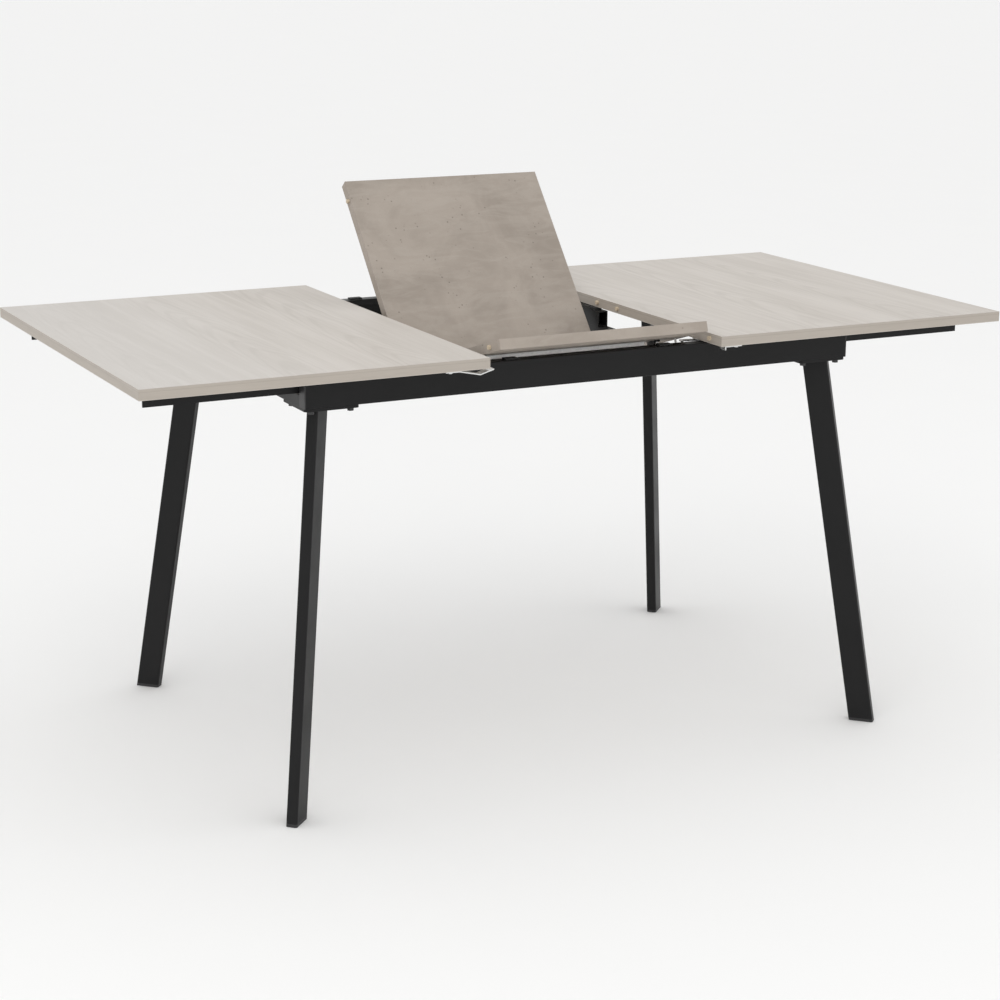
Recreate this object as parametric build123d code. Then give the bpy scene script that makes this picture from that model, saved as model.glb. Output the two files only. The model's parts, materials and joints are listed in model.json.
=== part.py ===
from build123d import *
import math
import os

# Extendable dining table with a folding leaf, in millimetres.
# Origin: on the floor under the middle of the table. +X runs along the table, +Y to its rear, +Z up.
# The two top halves are drawn pulled apart, with the folding leaf half unfolded between them.

# ---- top halves -------------------------------------------------------------------------------
TABLE_HEIGHT = 760.0
TOP_LENGTH = 600.0            # one half, along X
TOP_WIDTH = 800.0             # along Y
TOP_THICKNESS = 18.0
TOP_GAP = 446.0               # between the two halves as drawn
BAND_THICKNESS = 1.0          # edge band round every board

# ---- folding leaf -----------------------------------------------------------------------------
LEAF_LENGTH = 400.0           # along X, across the gap
LEAF_THICKNESS = 18.0
FOLD_GAP = 0.6                # between the two halves of the leaf when flat
FOLD_AXIS_RISE = 0.4          # hinge axis above the leaf's upper face
LEAF_TILT = 17.0              # how far the front half hangs, rear edge down
LEAF_OPENING = 66.7           # how far the rear half stands from flat on the front half

# ---- dowels -----------------------------------------------------------------------------------
DOWEL_RADIUS = 4.0
DOWEL_REACH = 4.0
DOWEL_DEPTH = 20.0
DOWEL_END_DISTANCE = 38.0     # from the ends of each leaf half
DOWEL_DROP = 9.0              # below the upper face
DOWEL_HOLE_RADIUS = 4.4
DOWEL_HOLE_DEPTH = 12.0

# ---- frame ------------------------------------------------------------------------------------
FRAME_LENGTH = 1054.0
SIDE_OVERHANG = 60.0          # of the tabletop past the frame, front and rear
FRAME_WIDTH = TOP_WIDTH - 2 * SIDE_OVERHANG
RAIL_HEIGHT = 50.0
RAIL_DEPTH = 23.0
RAIL_WALL = 2.0
RAIL_LIP = 10.0
RAIL_CORNER = 1.5
BOARD_CLEARANCE = 3.0         # from the rails up to the boards
CAP_THICKNESS = 2.0
CAP_PLUG = 5.0
END_RAIL_DEPTH = 23.0
END_RAIL_HEIGHT = 20.0
CROSS_RAIL_DEPTH = 20.0
CROSS_RAIL_HEIGHT = 19.0
SUPPORT_HEIGHT = 29.0
SUPPORT_FRONT = 19.0          # front end of the top supports, from the middle
SUPPORT_REAR_GAP = 23.0       # from their rear end to the rear rail
TUBE_WALL = 2.0
PAD_GAP = 0.3                 # buffer pads stay this far under the boards
PAD_LENGTH = 24.0
PAD_WIDTH = 14.0
RAIL_PAD_X = 150.0
SUPPORT_PAD_INSET = 30.0

# ---- legs -------------------------------------------------------------------------------------
LEG_DEPTH = 45.0              # square to the leg, along the frame's diagonal
LEG_WIDTH = 20.0
LEG_CORNER = 3.5
LEG_WALL = 1.5
LEG_TOP_INSET_X = 38.7        # leg's centre at its top, in from the end of the frame
LEG_TOP_INSET_Y = 40.7
LEG_SPLAY_X = 81.7            # how far the foot stands out from the top
LEG_SPLAY_Y = 83.7
FOOT_HEIGHT = 5.0
FOOT_PLUG = 20.0
FOOT_PLUG_CLEARANCE = 0.1
LEG_PLATE_THICKNESS = 5.0
LEG_PLATE_LENGTH = 96.0
LEG_PLATE_WIDTH = 99.0
LEG_PLATE_INSET = 1.0
LEG_PLATE_CORNER = 6.0
BOLT_RADIUS = 3.0
BOLT_HOLE_RADIUS = 3.3
BOLT_HEAD_FLATS = 10.0
BOLT_HEAD_HEIGHT = 4.0
WASHER_RADIUS = 6.0
WASHER_THICKNESS = 1.6
NUT_HEIGHT = 5.0
BOLT_PAST_NUT = 2.0
BOLT_INNER_INSET = 85.0       # plate bolt furthest from the frame's end
BOLT_OUTER_INSET = 15.0       # plate bolt nearest to the frame's end
BOLT_SIDE_INSET = 85.0        # the end rail's bolt, in from the frame's side

# ---- runners and glide shoes under the top halves ---------------------------------------------
RUNNER_THICKNESS = 3.0
RUNNER_HEIGHT = 30.0
RUNNER_FLANGE = 29.5
RUNNER_CLEARANCE = 1.5        # from a runner to the side rail
RUNNER_INNER_INSET = 41.0     # runner's ends, in from the board's inner and outer edge
RUNNER_OUTER_INSET = 33.0
SHOE_LENGTH = 40.0
SHOE_CLEARANCE = 0.4
SHOE_NECK_HEIGHT = 14.0
SHOE_NECK_RISE = 1.0          # neck's lower face above the runner's lower edge
SHOE_INSETS = (49.0, 162.0)   # inner end of each shoe, from the board's inner edge
SCREW_RADIUS = 1.75
SCREW_HEAD_RADIUS = 3.5
SCREW_HEAD_HEIGHT = 2.4
SCREW_DEPTH = 12.0
SCREW_EDGE = 0.5              # from a screw's head to the edge of the flange under it
RUNNER_SCREW_INSETS = (67.0, 227.0, 387.0, 547.0)
RUNNER_SCREW_LINE = 13.0      # from the flange's inner edge
SHOE_SCREW_SPACING = 24.0
SHOE_SCREW_DEPTH = 16.0
SHOE_HEAD_HEIGHT = 1.8

# ---- leaf guide -------------------------------------------------------------------------------
PIVOT_BEHIND_RAIL = 14.0      # pivot rod behind the front rail
PIVOT_SETBACK = SIDE_OVERHANG + RAIL_DEPTH + PIVOT_BEHIND_RAIL   # from the leaf's front edge
PIVOT_DROP = 15.0             # pivot rod below the leaf's underside
SLOT_RUN = 250.0              # how far back the rod travels into store
SLOT_FALL = 39.0
GUIDE_THICKNESS = 4.0
GUIDE_INNER = 210.0           # inner face of the guide plates from the middle
GUIDE_MARGIN = 1.6
SLOT_CLEARANCE = 0.3
ROD_RADIUS = 3.0
ROLLER_RADIUS = 4.5
RUNNING_CLEARANCE = 0.05
GUIDE_END_GAP = 0.3
BUSH_RADIUS = 4.0
LUG_RADIUS = 5.0
LUG_SETBACK = 56.0            # rest lugs in front of the fold
LUG_DROP = 6.0                # lug's centre below the leaf's underside
LUG_INNER = 176.0
LUG_OUTER = 208.5
LUG_RAMP_GAP = 0.3
RAMP_STEPS = 8
RAMP_LIP = 6.0
RAMP_LIP_THICKNESS = 3.0
RAMP_DEPTH = 14.0
RAMP_OVERRUN = 10.0
WEB_START = 0.7               # share of the slot where the web down to the ramp begins
WEB_END = 0.25                # share of the ramp where that web ends
SLOT_STEPS = 12

# ---- fittings under the leaf ------------------------------------------------------------------
BRACKET_THICKNESS = 3.0
BRACKET_LENGTH = 24.0
BRACKET_PLACES = ((-1, 186.0), (1, 140.0))     # side, and web from the middle
BRACKET_FLANGE = 13.0
BRACKET_BELOW_PIVOT = 7.0
BAR_FROM = -182.0
BAR_TO = 125.0
BAR_HEIGHT = 9.0
BAR_WIDTH = 10.0
BAR_WALL = 1.5
BAR_SCREWS = (-165.0, -30.0, 108.0)
BUSH_LENGTH = 4.0

# ---- fold hinges ------------------------------------------------------------------------------
HINGE_X = 130.0
HINGE_LENGTH = 50.0
HINGE_PLATE = 1.4
HINGE_PLATE_DEPTH = 15.5
KNUCKLE_RADIUS = 2.2
KNUCKLE_POCKET = 2.6
KNUCKLE_GAP = 0.3
KNUCKLE_SHARE = 0.3           # share of the hinge's length taken by each outer knuckle
HINGE_PIN_RADIUS = 1.0
HINGE_SCREW_RADIUS = 1.25
HINGE_SCREW_LENGTH = 14.0
HINGE_SCREW_DROP = 10.0
HINGE_SCREW_SPREAD = 16.0

# ---- latch between the right half and the leaf ------------------------------------------------
LATCH_INSET = 20.0            # rivet in from the board's inner edge
LATCH_LINE = 11.0             # rivet in from the side rail
LATCH_PLATE = 3.0
LATCH_OPEN = 13.0             # how far the hook is drawn swung off the stud
LATCH_PLATE_LENGTH = 32.0
LATCH_PLATE_WIDTH = 20.0
LATCH_ARM = 42.0
LATCH_ARM_THICKNESS = 3.0
LATCH_ARM_WIDTH = 5.5
LATCH_EYE_RADIUS = 6.0
LATCH_NIB = 4.0
LATCH_NIB_REACH = 13.0
LATCH_GAP = 0.3               # between the hook and its base
LATCH_TAB = 26.0              # finger tab's length from the rivet
LATCH_TAB_DROP = 2.5
LATCH_TAB_WIDTH = 4.0
LATCH_TAB_THICKNESS = 2.0
RIVET_RADIUS = 2.5
RIVET_HEAD_RADIUS = 4.0
RIVET_HEAD_HEIGHT = 1.7
STUD_RADIUS = 2.0
STUD_LENGTH = 7.0
STUD_CLEARANCE = 1.5          # between the closed hook's nib and the stud
STUD_SIDE_CLEARANCE = 3.5     # between the closed hook's arm and the stud
CLOSED_GAP = 0.5              # from a top half to the leaf when pushed home
CATCH_WIDTH = 16.0
CATCH_THICKNESS = 2.0
CATCH_EDGE_INSET = 2.0
LEFT_CATCH_SHAPE = ((-79.0, 0.0), (-55.0, 0.0), (-17.0, -8.0), (-3.0, -4.0), (8.0, -1.0))
LEFT_CATCH_SCREW = 68.0       # in from the left half's inner edge
RIGHT_CATCH_INSET = 9.0
RIGHT_CATCH_LENGTH = 34.0
RIGHT_CATCH_LIP = 7.0

# ---- places worked out from the sizes above ---------------------------------------------------
BOARD_UNDERSIDE = TABLE_HEIGHT - TOP_THICKNESS
RAIL_TOP = BOARD_UNDERSIDE - BOARD_CLEARANCE
RAIL_BOTTOM = RAIL_TOP - RAIL_HEIGHT
FRAME_END = FRAME_LENGTH / 2
FRAME_SIDE = FRAME_WIDTH / 2
RAIL_INNER = FRAME_SIDE - RAIL_DEPTH
TOP_INNER = TOP_GAP / 2
TOP_OUTER = TOP_INNER + TOP_LENGTH
TOP_SIDE = TOP_WIDTH / 2
LEAF_END = LEAF_LENGTH / 2
LEAF_UNDERSIDE = TABLE_HEIGHT - LEAF_THICKNESS
DOWEL_Z = TABLE_HEIGHT - DOWEL_DROP
DOWEL_OUTER_Y = TOP_SIDE - DOWEL_END_DISTANCE
DOWEL_YS = (-DOWEL_OUTER_Y, -DOWEL_END_DISTANCE, DOWEL_END_DISTANCE, DOWEL_OUTER_Y)
CROSS_INNER = GUIDE_INNER + GUIDE_THICKNESS
CROSS_OUTER = CROSS_INNER + CROSS_RAIL_DEPTH
CROSS_TOP = RAIL_BOTTOM + CROSS_RAIL_HEIGHT
SUPPORT_REAR = RAIL_INNER - SUPPORT_REAR_GAP
PIVOT_Y = -TOP_SIDE + PIVOT_SETBACK
PIVOT_Z = LEAF_UNDERSIDE - PIVOT_DROP
FOLD_Z = TABLE_HEIGHT + FOLD_AXIS_RISE
SLOT_CHORD = math.hypot(SLOT_RUN, SLOT_FALL)
SLOT_RADIUS = SLOT_CHORD / 2 / math.sin(math.radians(LEAF_TILT / 2))
SLOT_RISE = SLOT_RADIUS * math.cos(math.radians(LEAF_TILT / 2)) / SLOT_CHORD
STOW_Y = PIVOT_Y + SLOT_RUN / 2 + SLOT_FALL * SLOT_RISE      # axis that the slot is bent round
STOW_Z = PIVOT_Z - SLOT_FALL / 2 + SLOT_RUN * SLOT_RISE
RUNNER_WEB = RAIL_INNER - RUNNER_CLEARANCE
RUNNER_BOTTOM = BOARD_UNDERSIDE - RUNNER_HEIGHT
PLATE_TOP = RAIL_BOTTOM
PLATE_BOTTOM = PLATE_TOP - LEG_PLATE_THICKNESS
LEG_TOP_X = FRAME_END - LEG_TOP_INSET_X
LEG_TOP_Y = FRAME_SIDE - LEG_TOP_INSET_Y
LATCH_PIVOT_X = TOP_INNER + LATCH_INSET
LATCH_PIVOT_Y = -RAIL_INNER + LATCH_LINE
PIVOT_AXIS = Axis((0, PIVOT_Y, PIVOT_Z), (1, 0, 0))
FOLD_AXIS = Axis((0, 0, FOLD_Z), (1, 0, 0))
SIDES = (("left", -1), ("right", 1))
DEPTHS = (("front", -1), ("rear", 1))


# ---- helpers ----------------------------------------------------------------------------------
def block(x_from, x_to, y_from, y_to, z_from, z_to):
    """A box between two corners, given in any order."""
    middle = Pos((x_from + x_to) / 2, (y_from + y_to) / 2, (z_from + z_to) / 2)
    return middle * Box(abs(x_to - x_from), abs(y_to - y_from), abs(z_to - z_from))


def rod_x(x_from, x_to, y, z, radius):
    """A round bar along X."""
    return Pos((x_from + x_to) / 2, y, z) * Rot(0, 90, 0) * Cylinder(radius, abs(x_to - x_from))


def rod_y(x, y_from, y_to, z, radius):
    """A round bar along Y."""
    return Pos(x, (y_from + y_to) / 2, z) * Rot(90, 0, 0) * Cylinder(radius, abs(y_to - y_from))


def rod_z(x, y, z_from, z_to, radius):
    """A round bar along Z."""
    return Pos(x, y, (z_from + z_to) / 2) * Cylinder(radius, abs(z_to - z_from))


def hexagon(x, y, z_from, z_to, flats):
    """A hexagonal prism along Z, measured across its flats."""
    outline = RegularPolygon(flats / 2, 6, major_radius=False)
    return Pos(x, y, z_from) * extrude(outline, amount=z_to - z_from)


def side_profile(points, x_from, x_to):
    """An outline in the YZ plane, carried along X."""
    outline = Plane.YZ * Polygon(*points, align=None)
    return Pos(x_from, 0, 0) * extrude(outline, amount=x_to - x_from, dir=(1, 0, 0))


def front_profile(points, y_from, y_to):
    """An outline in the XZ plane, carried along Y."""
    outline = Plane.XZ * Polygon(*points, align=None)
    return Pos(0, y_from, 0) * extrude(outline, amount=y_to - y_from, dir=(0, 1, 0))


def to_side(shape, side):
    """The shape as drawn for the right, or mirrored to the left."""
    return shape if side > 0 else mirror(shape, about=Plane.YZ)


def to_depth(shape, depth):
    """The shape as drawn for the rear, or mirrored to the front."""
    return shape if depth > 0 else mirror(shape, about=Plane.XZ)


def hang_front_half(shape):
    """From the leaf's flat place to where the front half hangs."""
    return shape.rotate(PIVOT_AXIS, -LEAF_TILT)


def hang_rear_half(shape):
    """From the leaf's flat place to where the rear half stands on the hanging front half."""
    return hang_front_half(shape.rotate(FOLD_AXIS, LEAF_OPENING))


def cut_all(shape, tools):
    """The shape less every tool."""
    for tool in tools:
        shape = shape - tool
    return shape


def save(name, shapes):
    """Writes one node, from one shape or a list of separate solids."""
    pieces = shapes if isinstance(shapes, list) else [shapes]
    solids = [solid for piece in pieces for solid in piece.solids()]
    whole = solids[0] if len(solids) == 1 else Compound(solids)
    export_step(whole, f"parts/{name}.step")


# ---- frame ------------------------------------------------------------------------------------
def bolt_places():
    """Leg plate bolts of the rear right corner: two into the side rail, one into the end rail."""
    side_line = FRAME_SIDE - RAIL_DEPTH / 2
    end_line = FRAME_END - END_RAIL_DEPTH / 2
    return (
        (FRAME_END - BOLT_INNER_INSET, side_line),
        (FRAME_END - BOLT_OUTER_INSET, side_line),
        (end_line, FRAME_SIDE - BOLT_SIDE_INSET),
    )


def side_rail():
    """Rear side rail: a lipped channel, open towards the middle of the table."""
    middle_y = FRAME_SIDE - RAIL_DEPTH / 2
    middle_z = (RAIL_TOP + RAIL_BOTTOM) / 2
    outline = RectangleRounded(RAIL_DEPTH, RAIL_HEIGHT, RAIL_CORNER)
    outline = outline - Rectangle(RAIL_DEPTH - 2 * RAIL_WALL, RAIL_HEIGHT - 2 * RAIL_WALL)
    mouth = Rectangle(RAIL_DEPTH / 2, RAIL_HEIGHT - 2 * RAIL_LIP)
    outline = outline - Pos(-RAIL_DEPTH / 2, 0) * mouth
    length = FRAME_LENGTH - 2 * CAP_THICKNESS
    rail = extrude(Plane.YZ * Pos(middle_y, middle_z) * outline, amount=length)
    rail = Pos(-length / 2, 0, 0) * rail
    holes = []
    for x, y in bolt_places()[:2]:
        for side in (-1, 1):
            holes.append(rod_z(side * x, y, RAIL_BOTTOM, RAIL_BOTTOM + RAIL_WALL, BOLT_HOLE_RADIUS))
    return cut_all(rail, holes)


def rail_end_cap():
    """Plastic cap in the rear rail's right end."""
    low, high = RAIL_BOTTOM + RAIL_WALL, RAIL_TOP - RAIL_WALL
    start = FRAME_END - CAP_THICKNESS
    face = block(start, FRAME_END, RAIL_INNER, FRAME_SIDE, RAIL_BOTTOM, RAIL_TOP)
    face = fillet(face.edges().filter_by(Axis.X), RAIL_CORNER)
    plug = block(start - CAP_PLUG, start, RAIL_INNER + RAIL_WALL, FRAME_SIDE - RAIL_WALL, low, high)
    return face + plug


def tube_along_y(x_from, x_to, y_from, y_to, z_from, z_to):
    """A rectangular steel tube along Y, open at its ends."""
    outer = block(x_from, x_to, y_from, y_to, z_from, z_to)
    bore = block(x_from + TUBE_WALL, x_to - TUBE_WALL, y_from, y_to, z_from + TUBE_WALL, z_to - TUBE_WALL)
    return outer - bore


def end_rail():
    """Right end rail: a low tube that the runners pass over."""
    x_from = FRAME_END - END_RAIL_DEPTH
    z_to = RAIL_BOTTOM + END_RAIL_HEIGHT
    tube = tube_along_y(x_from, FRAME_END, -RAIL_INNER, RAIL_INNER, RAIL_BOTTOM, z_to)
    x, y = bolt_places()[2]
    holes = [rod_z(x, depth * y, RAIL_BOTTOM, RAIL_BOTTOM + TUBE_WALL, BOLT_HOLE_RADIUS) for depth in (-1, 1)]
    return cut_all(tube, holes)


def cross_rail():
    """Right cross rail, between the side rails under the leaf's end."""
    return tube_along_y(CROSS_INNER, CROSS_OUTER, -RAIL_INNER, RAIL_INNER, RAIL_BOTTOM, CROSS_TOP)


def top_support():
    """Upper tube on the right cross rail, which carries the top half's inner edge."""
    z_to = CROSS_TOP + SUPPORT_HEIGHT
    return tube_along_y(CROSS_INNER, CROSS_OUTER, SUPPORT_FRONT, SUPPORT_REAR, CROSS_TOP, z_to)


def buffer_pads():
    """Rubber pads on the side rails for the leaf, and on the supports for the top halves."""
    pads = []
    pad_top = BOARD_UNDERSIDE - PAD_GAP
    rail_line = FRAME_SIDE - RAIL_DEPTH / 2
    support_line = (CROSS_INNER + CROSS_OUTER) / 2
    for side in (-1, 1):
        for depth in (-1, 1):
            pad = block(-PAD_LENGTH / 2, PAD_LENGTH / 2, -PAD_WIDTH / 2, PAD_WIDTH / 2, RAIL_TOP, pad_top)
            pads.append(Pos(side * RAIL_PAD_X, depth * rail_line, 0) * pad)
        for y in (SUPPORT_FRONT + SUPPORT_PAD_INSET, SUPPORT_REAR - SUPPORT_PAD_INSET):
            support_top = CROSS_TOP + SUPPORT_HEIGHT
            pad = block(-PAD_WIDTH / 2, PAD_WIDTH / 2, -PAD_LENGTH / 2, PAD_LENGTH / 2, support_top, pad_top)
            pads.append(Pos(side * support_line, y, 0) * pad)
    return pads


# ---- legs -------------------------------------------------------------------------------------
def leg_centre(z):
    """Centre of the rear right leg at a height."""
    share = (PLATE_BOTTOM - z) / PLATE_BOTTOM
    return LEG_TOP_X + LEG_SPLAY_X * share, LEG_TOP_Y + LEG_SPLAY_Y * share


def leg_prism(depth, width, corner, z_from, z_to):
    """A leaning prism between two levels, its long side along the frame's diagonal."""
    x_low, y_low = leg_centre(z_from)
    x_high, y_high = leg_centre(z_to)
    lean = Vector(x_high - x_low, y_high - y_low, z_to - z_from)
    level_depth = depth * lean.length / (z_to - z_from)
    outline = Pos(x_low, y_low, z_from) * Rot(0, 0, 45) * RectangleRounded(level_depth, width, corner)
    return extrude(outline, amount=lean.length, dir=lean.normalized())


def leg():
    """Rear right leg: a leaning rectangular tube with rounded corners."""
    tube = leg_prism(LEG_DEPTH, LEG_WIDTH, LEG_CORNER, FOOT_HEIGHT, PLATE_BOTTOM)
    inner = LEG_CORNER - LEG_WALL
    bore = leg_prism(LEG_DEPTH - 2 * LEG_WALL, LEG_WIDTH - 2 * LEG_WALL, inner, FOOT_HEIGHT, PLATE_BOTTOM)
    return tube - bore


def foot():
    """Plastic cap under the rear right leg, with a plug up inside the tube."""
    margin = 2 * (LEG_WALL + FOOT_PLUG_CLEARANCE)
    sole = leg_prism(LEG_DEPTH, LEG_WIDTH, LEG_CORNER, 0, FOOT_HEIGHT)
    inner = LEG_CORNER - LEG_WALL
    plug_top = FOOT_HEIGHT + FOOT_PLUG
    plug = leg_prism(LEG_DEPTH - margin, LEG_WIDTH - margin, inner, FOOT_HEIGHT, plug_top)
    return sole + plug


def leg_plate():
    """Steel plate under the rear right corner, which the leg is welded to."""
    x_to = FRAME_END - LEG_PLATE_INSET
    y_to = FRAME_SIDE - LEG_PLATE_INSET
    plate = block(x_to - LEG_PLATE_LENGTH, x_to, y_to - LEG_PLATE_WIDTH, y_to, PLATE_BOTTOM, PLATE_TOP)
    plate = fillet(plate.edges().filter_by(Axis.Z), LEG_PLATE_CORNER)
    holes = [rod_z(x, y, PLATE_BOTTOM, PLATE_TOP, BOLT_HOLE_RADIUS) for x, y in bolt_places()]
    return cut_all(plate, holes)


def leg_bolt(x, y):
    """Hexagon bolt with its washer below a leg plate, and its nut inside the rail."""
    washer_bottom = PLATE_BOTTOM - WASHER_THICKNESS
    seat = RAIL_BOTTOM + RAIL_WALL
    head = hexagon(x, y, washer_bottom - BOLT_HEAD_HEIGHT, washer_bottom, BOLT_HEAD_FLATS)
    shank = rod_z(x, y, washer_bottom, seat + NUT_HEIGHT + BOLT_PAST_NUT, BOLT_RADIUS)
    bore = rod_z(x, y, washer_bottom, seat + NUT_HEIGHT, BOLT_RADIUS + RUNNING_CLEARANCE)
    washer = rod_z(x, y, washer_bottom, PLATE_BOTTOM, WASHER_RADIUS) - bore
    nut = hexagon(x, y, seat, seat + NUT_HEIGHT, BOLT_HEAD_FLATS) - bore
    return [head + shank, washer, nut]


# ---- top halves -------------------------------------------------------------------------------
def board_and_band(x_from, x_to, y_from, y_to, z_from, z_to):
    """A board's core, and the band that runs round its four edges."""
    inset = BAND_THICKNESS
    core = block(x_from + inset, x_to - inset, y_from + inset, y_to - inset, z_from, z_to)
    band = block(x_from, x_to, y_from, y_to, z_from, z_to) - core
    return core, band


def runner_screw_line():
    """Distance of the runner screws from the middle of the table."""
    return RUNNER_WEB - RUNNER_FLANGE + RUNNER_SCREW_LINE


def runner():
    """Right rear runner: a steel angle under the board, its web beside the rail's mouth."""
    x_from = TOP_INNER + RUNNER_INNER_INSET
    x_to = TOP_OUTER - RUNNER_OUTER_INSET
    web = block(x_from, x_to, RUNNER_WEB - RUNNER_THICKNESS, RUNNER_WEB, RUNNER_BOTTOM, BOARD_UNDERSIDE)
    flange_bottom = BOARD_UNDERSIDE - RUNNER_THICKNESS
    flange = block(x_from, x_to, RUNNER_WEB - RUNNER_FLANGE, RUNNER_WEB, flange_bottom, BOARD_UNDERSIDE)
    holes = []
    for inset in RUNNER_SCREW_INSETS:
        x = TOP_INNER + inset
        holes.append(rod_z(x, runner_screw_line(), flange_bottom, BOARD_UNDERSIDE, SCREW_RADIUS))
    for x in shoe_screw_places():
        holes.append(rod_y(x, RUNNER_WEB - RUNNER_THICKNESS, RUNNER_WEB, shoe_middle_z(), SCREW_RADIUS))
    return cut_all(web + flange, holes)


def shoe_middle_z():
    """Height of the neck that joins each shoe to its runner."""
    return RUNNER_BOTTOM + SHOE_NECK_RISE + SHOE_NECK_HEIGHT / 2


def shoe_screw_places():
    """Where the shoe screws stand along the right rear runner."""
    places = []
    for inset in SHOE_INSETS:
        middle = TOP_INNER + inset + SHOE_LENGTH / 2
        places += [middle - SHOE_SCREW_SPACING / 2, middle + SHOE_SCREW_SPACING / 2]
    return places


def glide_shoe(inset):
    """Nylon shoe that runs inside the rear rail, held to the right runner by its neck."""
    x_from = TOP_INNER + inset
    x_to = x_from + SHOE_LENGTH
    low = RAIL_BOTTOM + RAIL_WALL + SHOE_CLEARANCE
    high = RAIL_TOP - RAIL_WALL - SHOE_CLEARANCE
    inner = RAIL_INNER + RAIL_WALL + SHOE_CLEARANCE
    body = block(x_from, x_to, inner, FRAME_SIDE - RAIL_WALL - SHOE_CLEARANCE, low, high)
    half_neck = SHOE_NECK_HEIGHT / 2
    neck = block(x_from, x_to, RUNNER_WEB, inner, shoe_middle_z() - half_neck, shoe_middle_z() + half_neck)
    shoe = body + neck
    holes = []
    for x in shoe_screw_places():
        holes.append(rod_y(x, RUNNER_WEB, RUNNER_WEB + SHOE_SCREW_DEPTH, shoe_middle_z(), SCREW_RADIUS))
    return cut_all(shoe, holes)


def runner_screws():
    """Screws of the right rear runner: up into the board, and out into the shoes."""
    screws = []
    flange_bottom = BOARD_UNDERSIDE - RUNNER_THICKNESS
    y = runner_screw_line()
    for inset in RUNNER_SCREW_INSETS:
        x = TOP_INNER + inset
        head = rod_z(x, y, flange_bottom - SCREW_HEAD_HEIGHT, flange_bottom, SCREW_HEAD_RADIUS)
        screws.append(head + rod_z(x, y, flange_bottom, BOARD_UNDERSIDE + SCREW_DEPTH, SCREW_RADIUS))
    inner_face = RUNNER_WEB - RUNNER_THICKNESS
    for x in shoe_screw_places():
        head = rod_y(x, inner_face - SHOE_HEAD_HEIGHT, inner_face, shoe_middle_z(), SCREW_HEAD_RADIUS)
        shank = rod_y(x, inner_face, RUNNER_WEB + SHOE_SCREW_DEPTH, shoe_middle_z(), SCREW_RADIUS)
        screws.append(head + shank)
    return screws


def runner_screw_holes():
    """Holes in the right board for both runners' screws."""
    holes = []
    for inset in RUNNER_SCREW_INSETS:
        for depth in (-1, 1):
            y = depth * runner_screw_line()
            hole_top = BOARD_UNDERSIDE + SCREW_DEPTH
            holes.append(rod_z(TOP_INNER + inset, y, BOARD_UNDERSIDE, hole_top, SCREW_RADIUS))
    return holes


def dowels(x_edge, reach_side, ys):
    """Dowels in an end face, standing out of it towards one side."""
    x_out = x_edge + reach_side * DOWEL_REACH
    x_in = x_edge - reach_side * DOWEL_DEPTH
    return [rod_x(x_in, x_out, y, DOWEL_Z, DOWEL_RADIUS) for y in ys]


def dowel_holes(x_edge, inward_side, ys):
    """Holes in an end face for the dowels of the piece that meets it."""
    x_in = x_edge + inward_side * DOWEL_HOLE_DEPTH
    return [rod_x(x_edge, x_in, y, DOWEL_Z, DOWEL_HOLE_RADIUS) for y in ys]


def left_catch():
    """Bent steel catch under the left half's front inner corner, and its screw."""
    y_from = -TOP_SIDE + CATCH_EDGE_INSET
    y_to = y_from + CATCH_WIDTH
    top = BOARD_UNDERSIDE
    bottom = top - CATCH_THICKNESS
    upper = [(along - TOP_INNER, top + drop) for along, drop in LEFT_CATCH_SHAPE]
    lower = [(x, z - CATCH_THICKNESS) for x, z in reversed(upper)]
    plate = front_profile(upper + lower, y_from, y_to)
    screw_x = -TOP_INNER - LEFT_CATCH_SCREW
    screw_y = (y_from + y_to) / 2
    head = rod_z(screw_x, screw_y, bottom - SCREW_HEAD_HEIGHT, bottom, SCREW_HEAD_RADIUS)
    shank = rod_z(screw_x, screw_y, bottom, top + SCREW_DEPTH, SCREW_RADIUS)
    return plate - shank, head + shank, shank


def right_catch():
    """Steel keeper under the right half's front inner corner, and its screw."""
    y_from = -TOP_SIDE + CATCH_EDGE_INSET
    y_to = y_from + CATCH_WIDTH
    top = BOARD_UNDERSIDE
    x_from = TOP_INNER + RIGHT_CATCH_INSET
    x_to = x_from + RIGHT_CATCH_LENGTH
    plate = block(x_from, x_to, y_from, y_to, top - CATCH_THICKNESS, top)
    lip = block(x_from, x_from + CATCH_THICKNESS, y_from, y_to, top - RIGHT_CATCH_LIP, top)
    screw_x = x_to - SCREW_HEAD_RADIUS * 2
    screw_y = (y_from + y_to) / 2
    bottom = top - CATCH_THICKNESS
    head = rod_z(screw_x, screw_y, bottom - SCREW_HEAD_HEIGHT, bottom, SCREW_HEAD_RADIUS)
    shank = rod_z(screw_x, screw_y, bottom, top + SCREW_DEPTH, SCREW_RADIUS)
    return plate + lip - shank, head + shank, shank


# ---- leaf guide -------------------------------------------------------------------------------
def stow_arc(y, z, outwards, start, end, steps):
    """Points on a place's path into store, moved outwards from the stow axis, between two shares of it."""
    radius = math.hypot(y - STOW_Y, z - STOW_Z) + outwards
    first = math.atan2(z - STOW_Z, y - STOW_Y)
    points = []
    for step in range(steps + 1):
        share = start + (end - start) * step / steps
        angle = first + math.radians(LEAF_TILT * share)
        points.append((STOW_Y + radius * math.cos(angle), STOW_Z + radius * math.sin(angle)))
    return points


def lug_centre():
    """Centre of the rest lug with the leaf hanging."""
    tilt = math.radians(LEAF_TILT)
    behind = -LUG_SETBACK - PIVOT_Y
    above = LEAF_UNDERSIDE - LUG_DROP - PIVOT_Z
    y = PIVOT_Y + behind * math.cos(tilt) + above * math.sin(tilt)
    z = PIVOT_Z + above * math.cos(tilt) - behind * math.sin(tilt)
    return y, z


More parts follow.
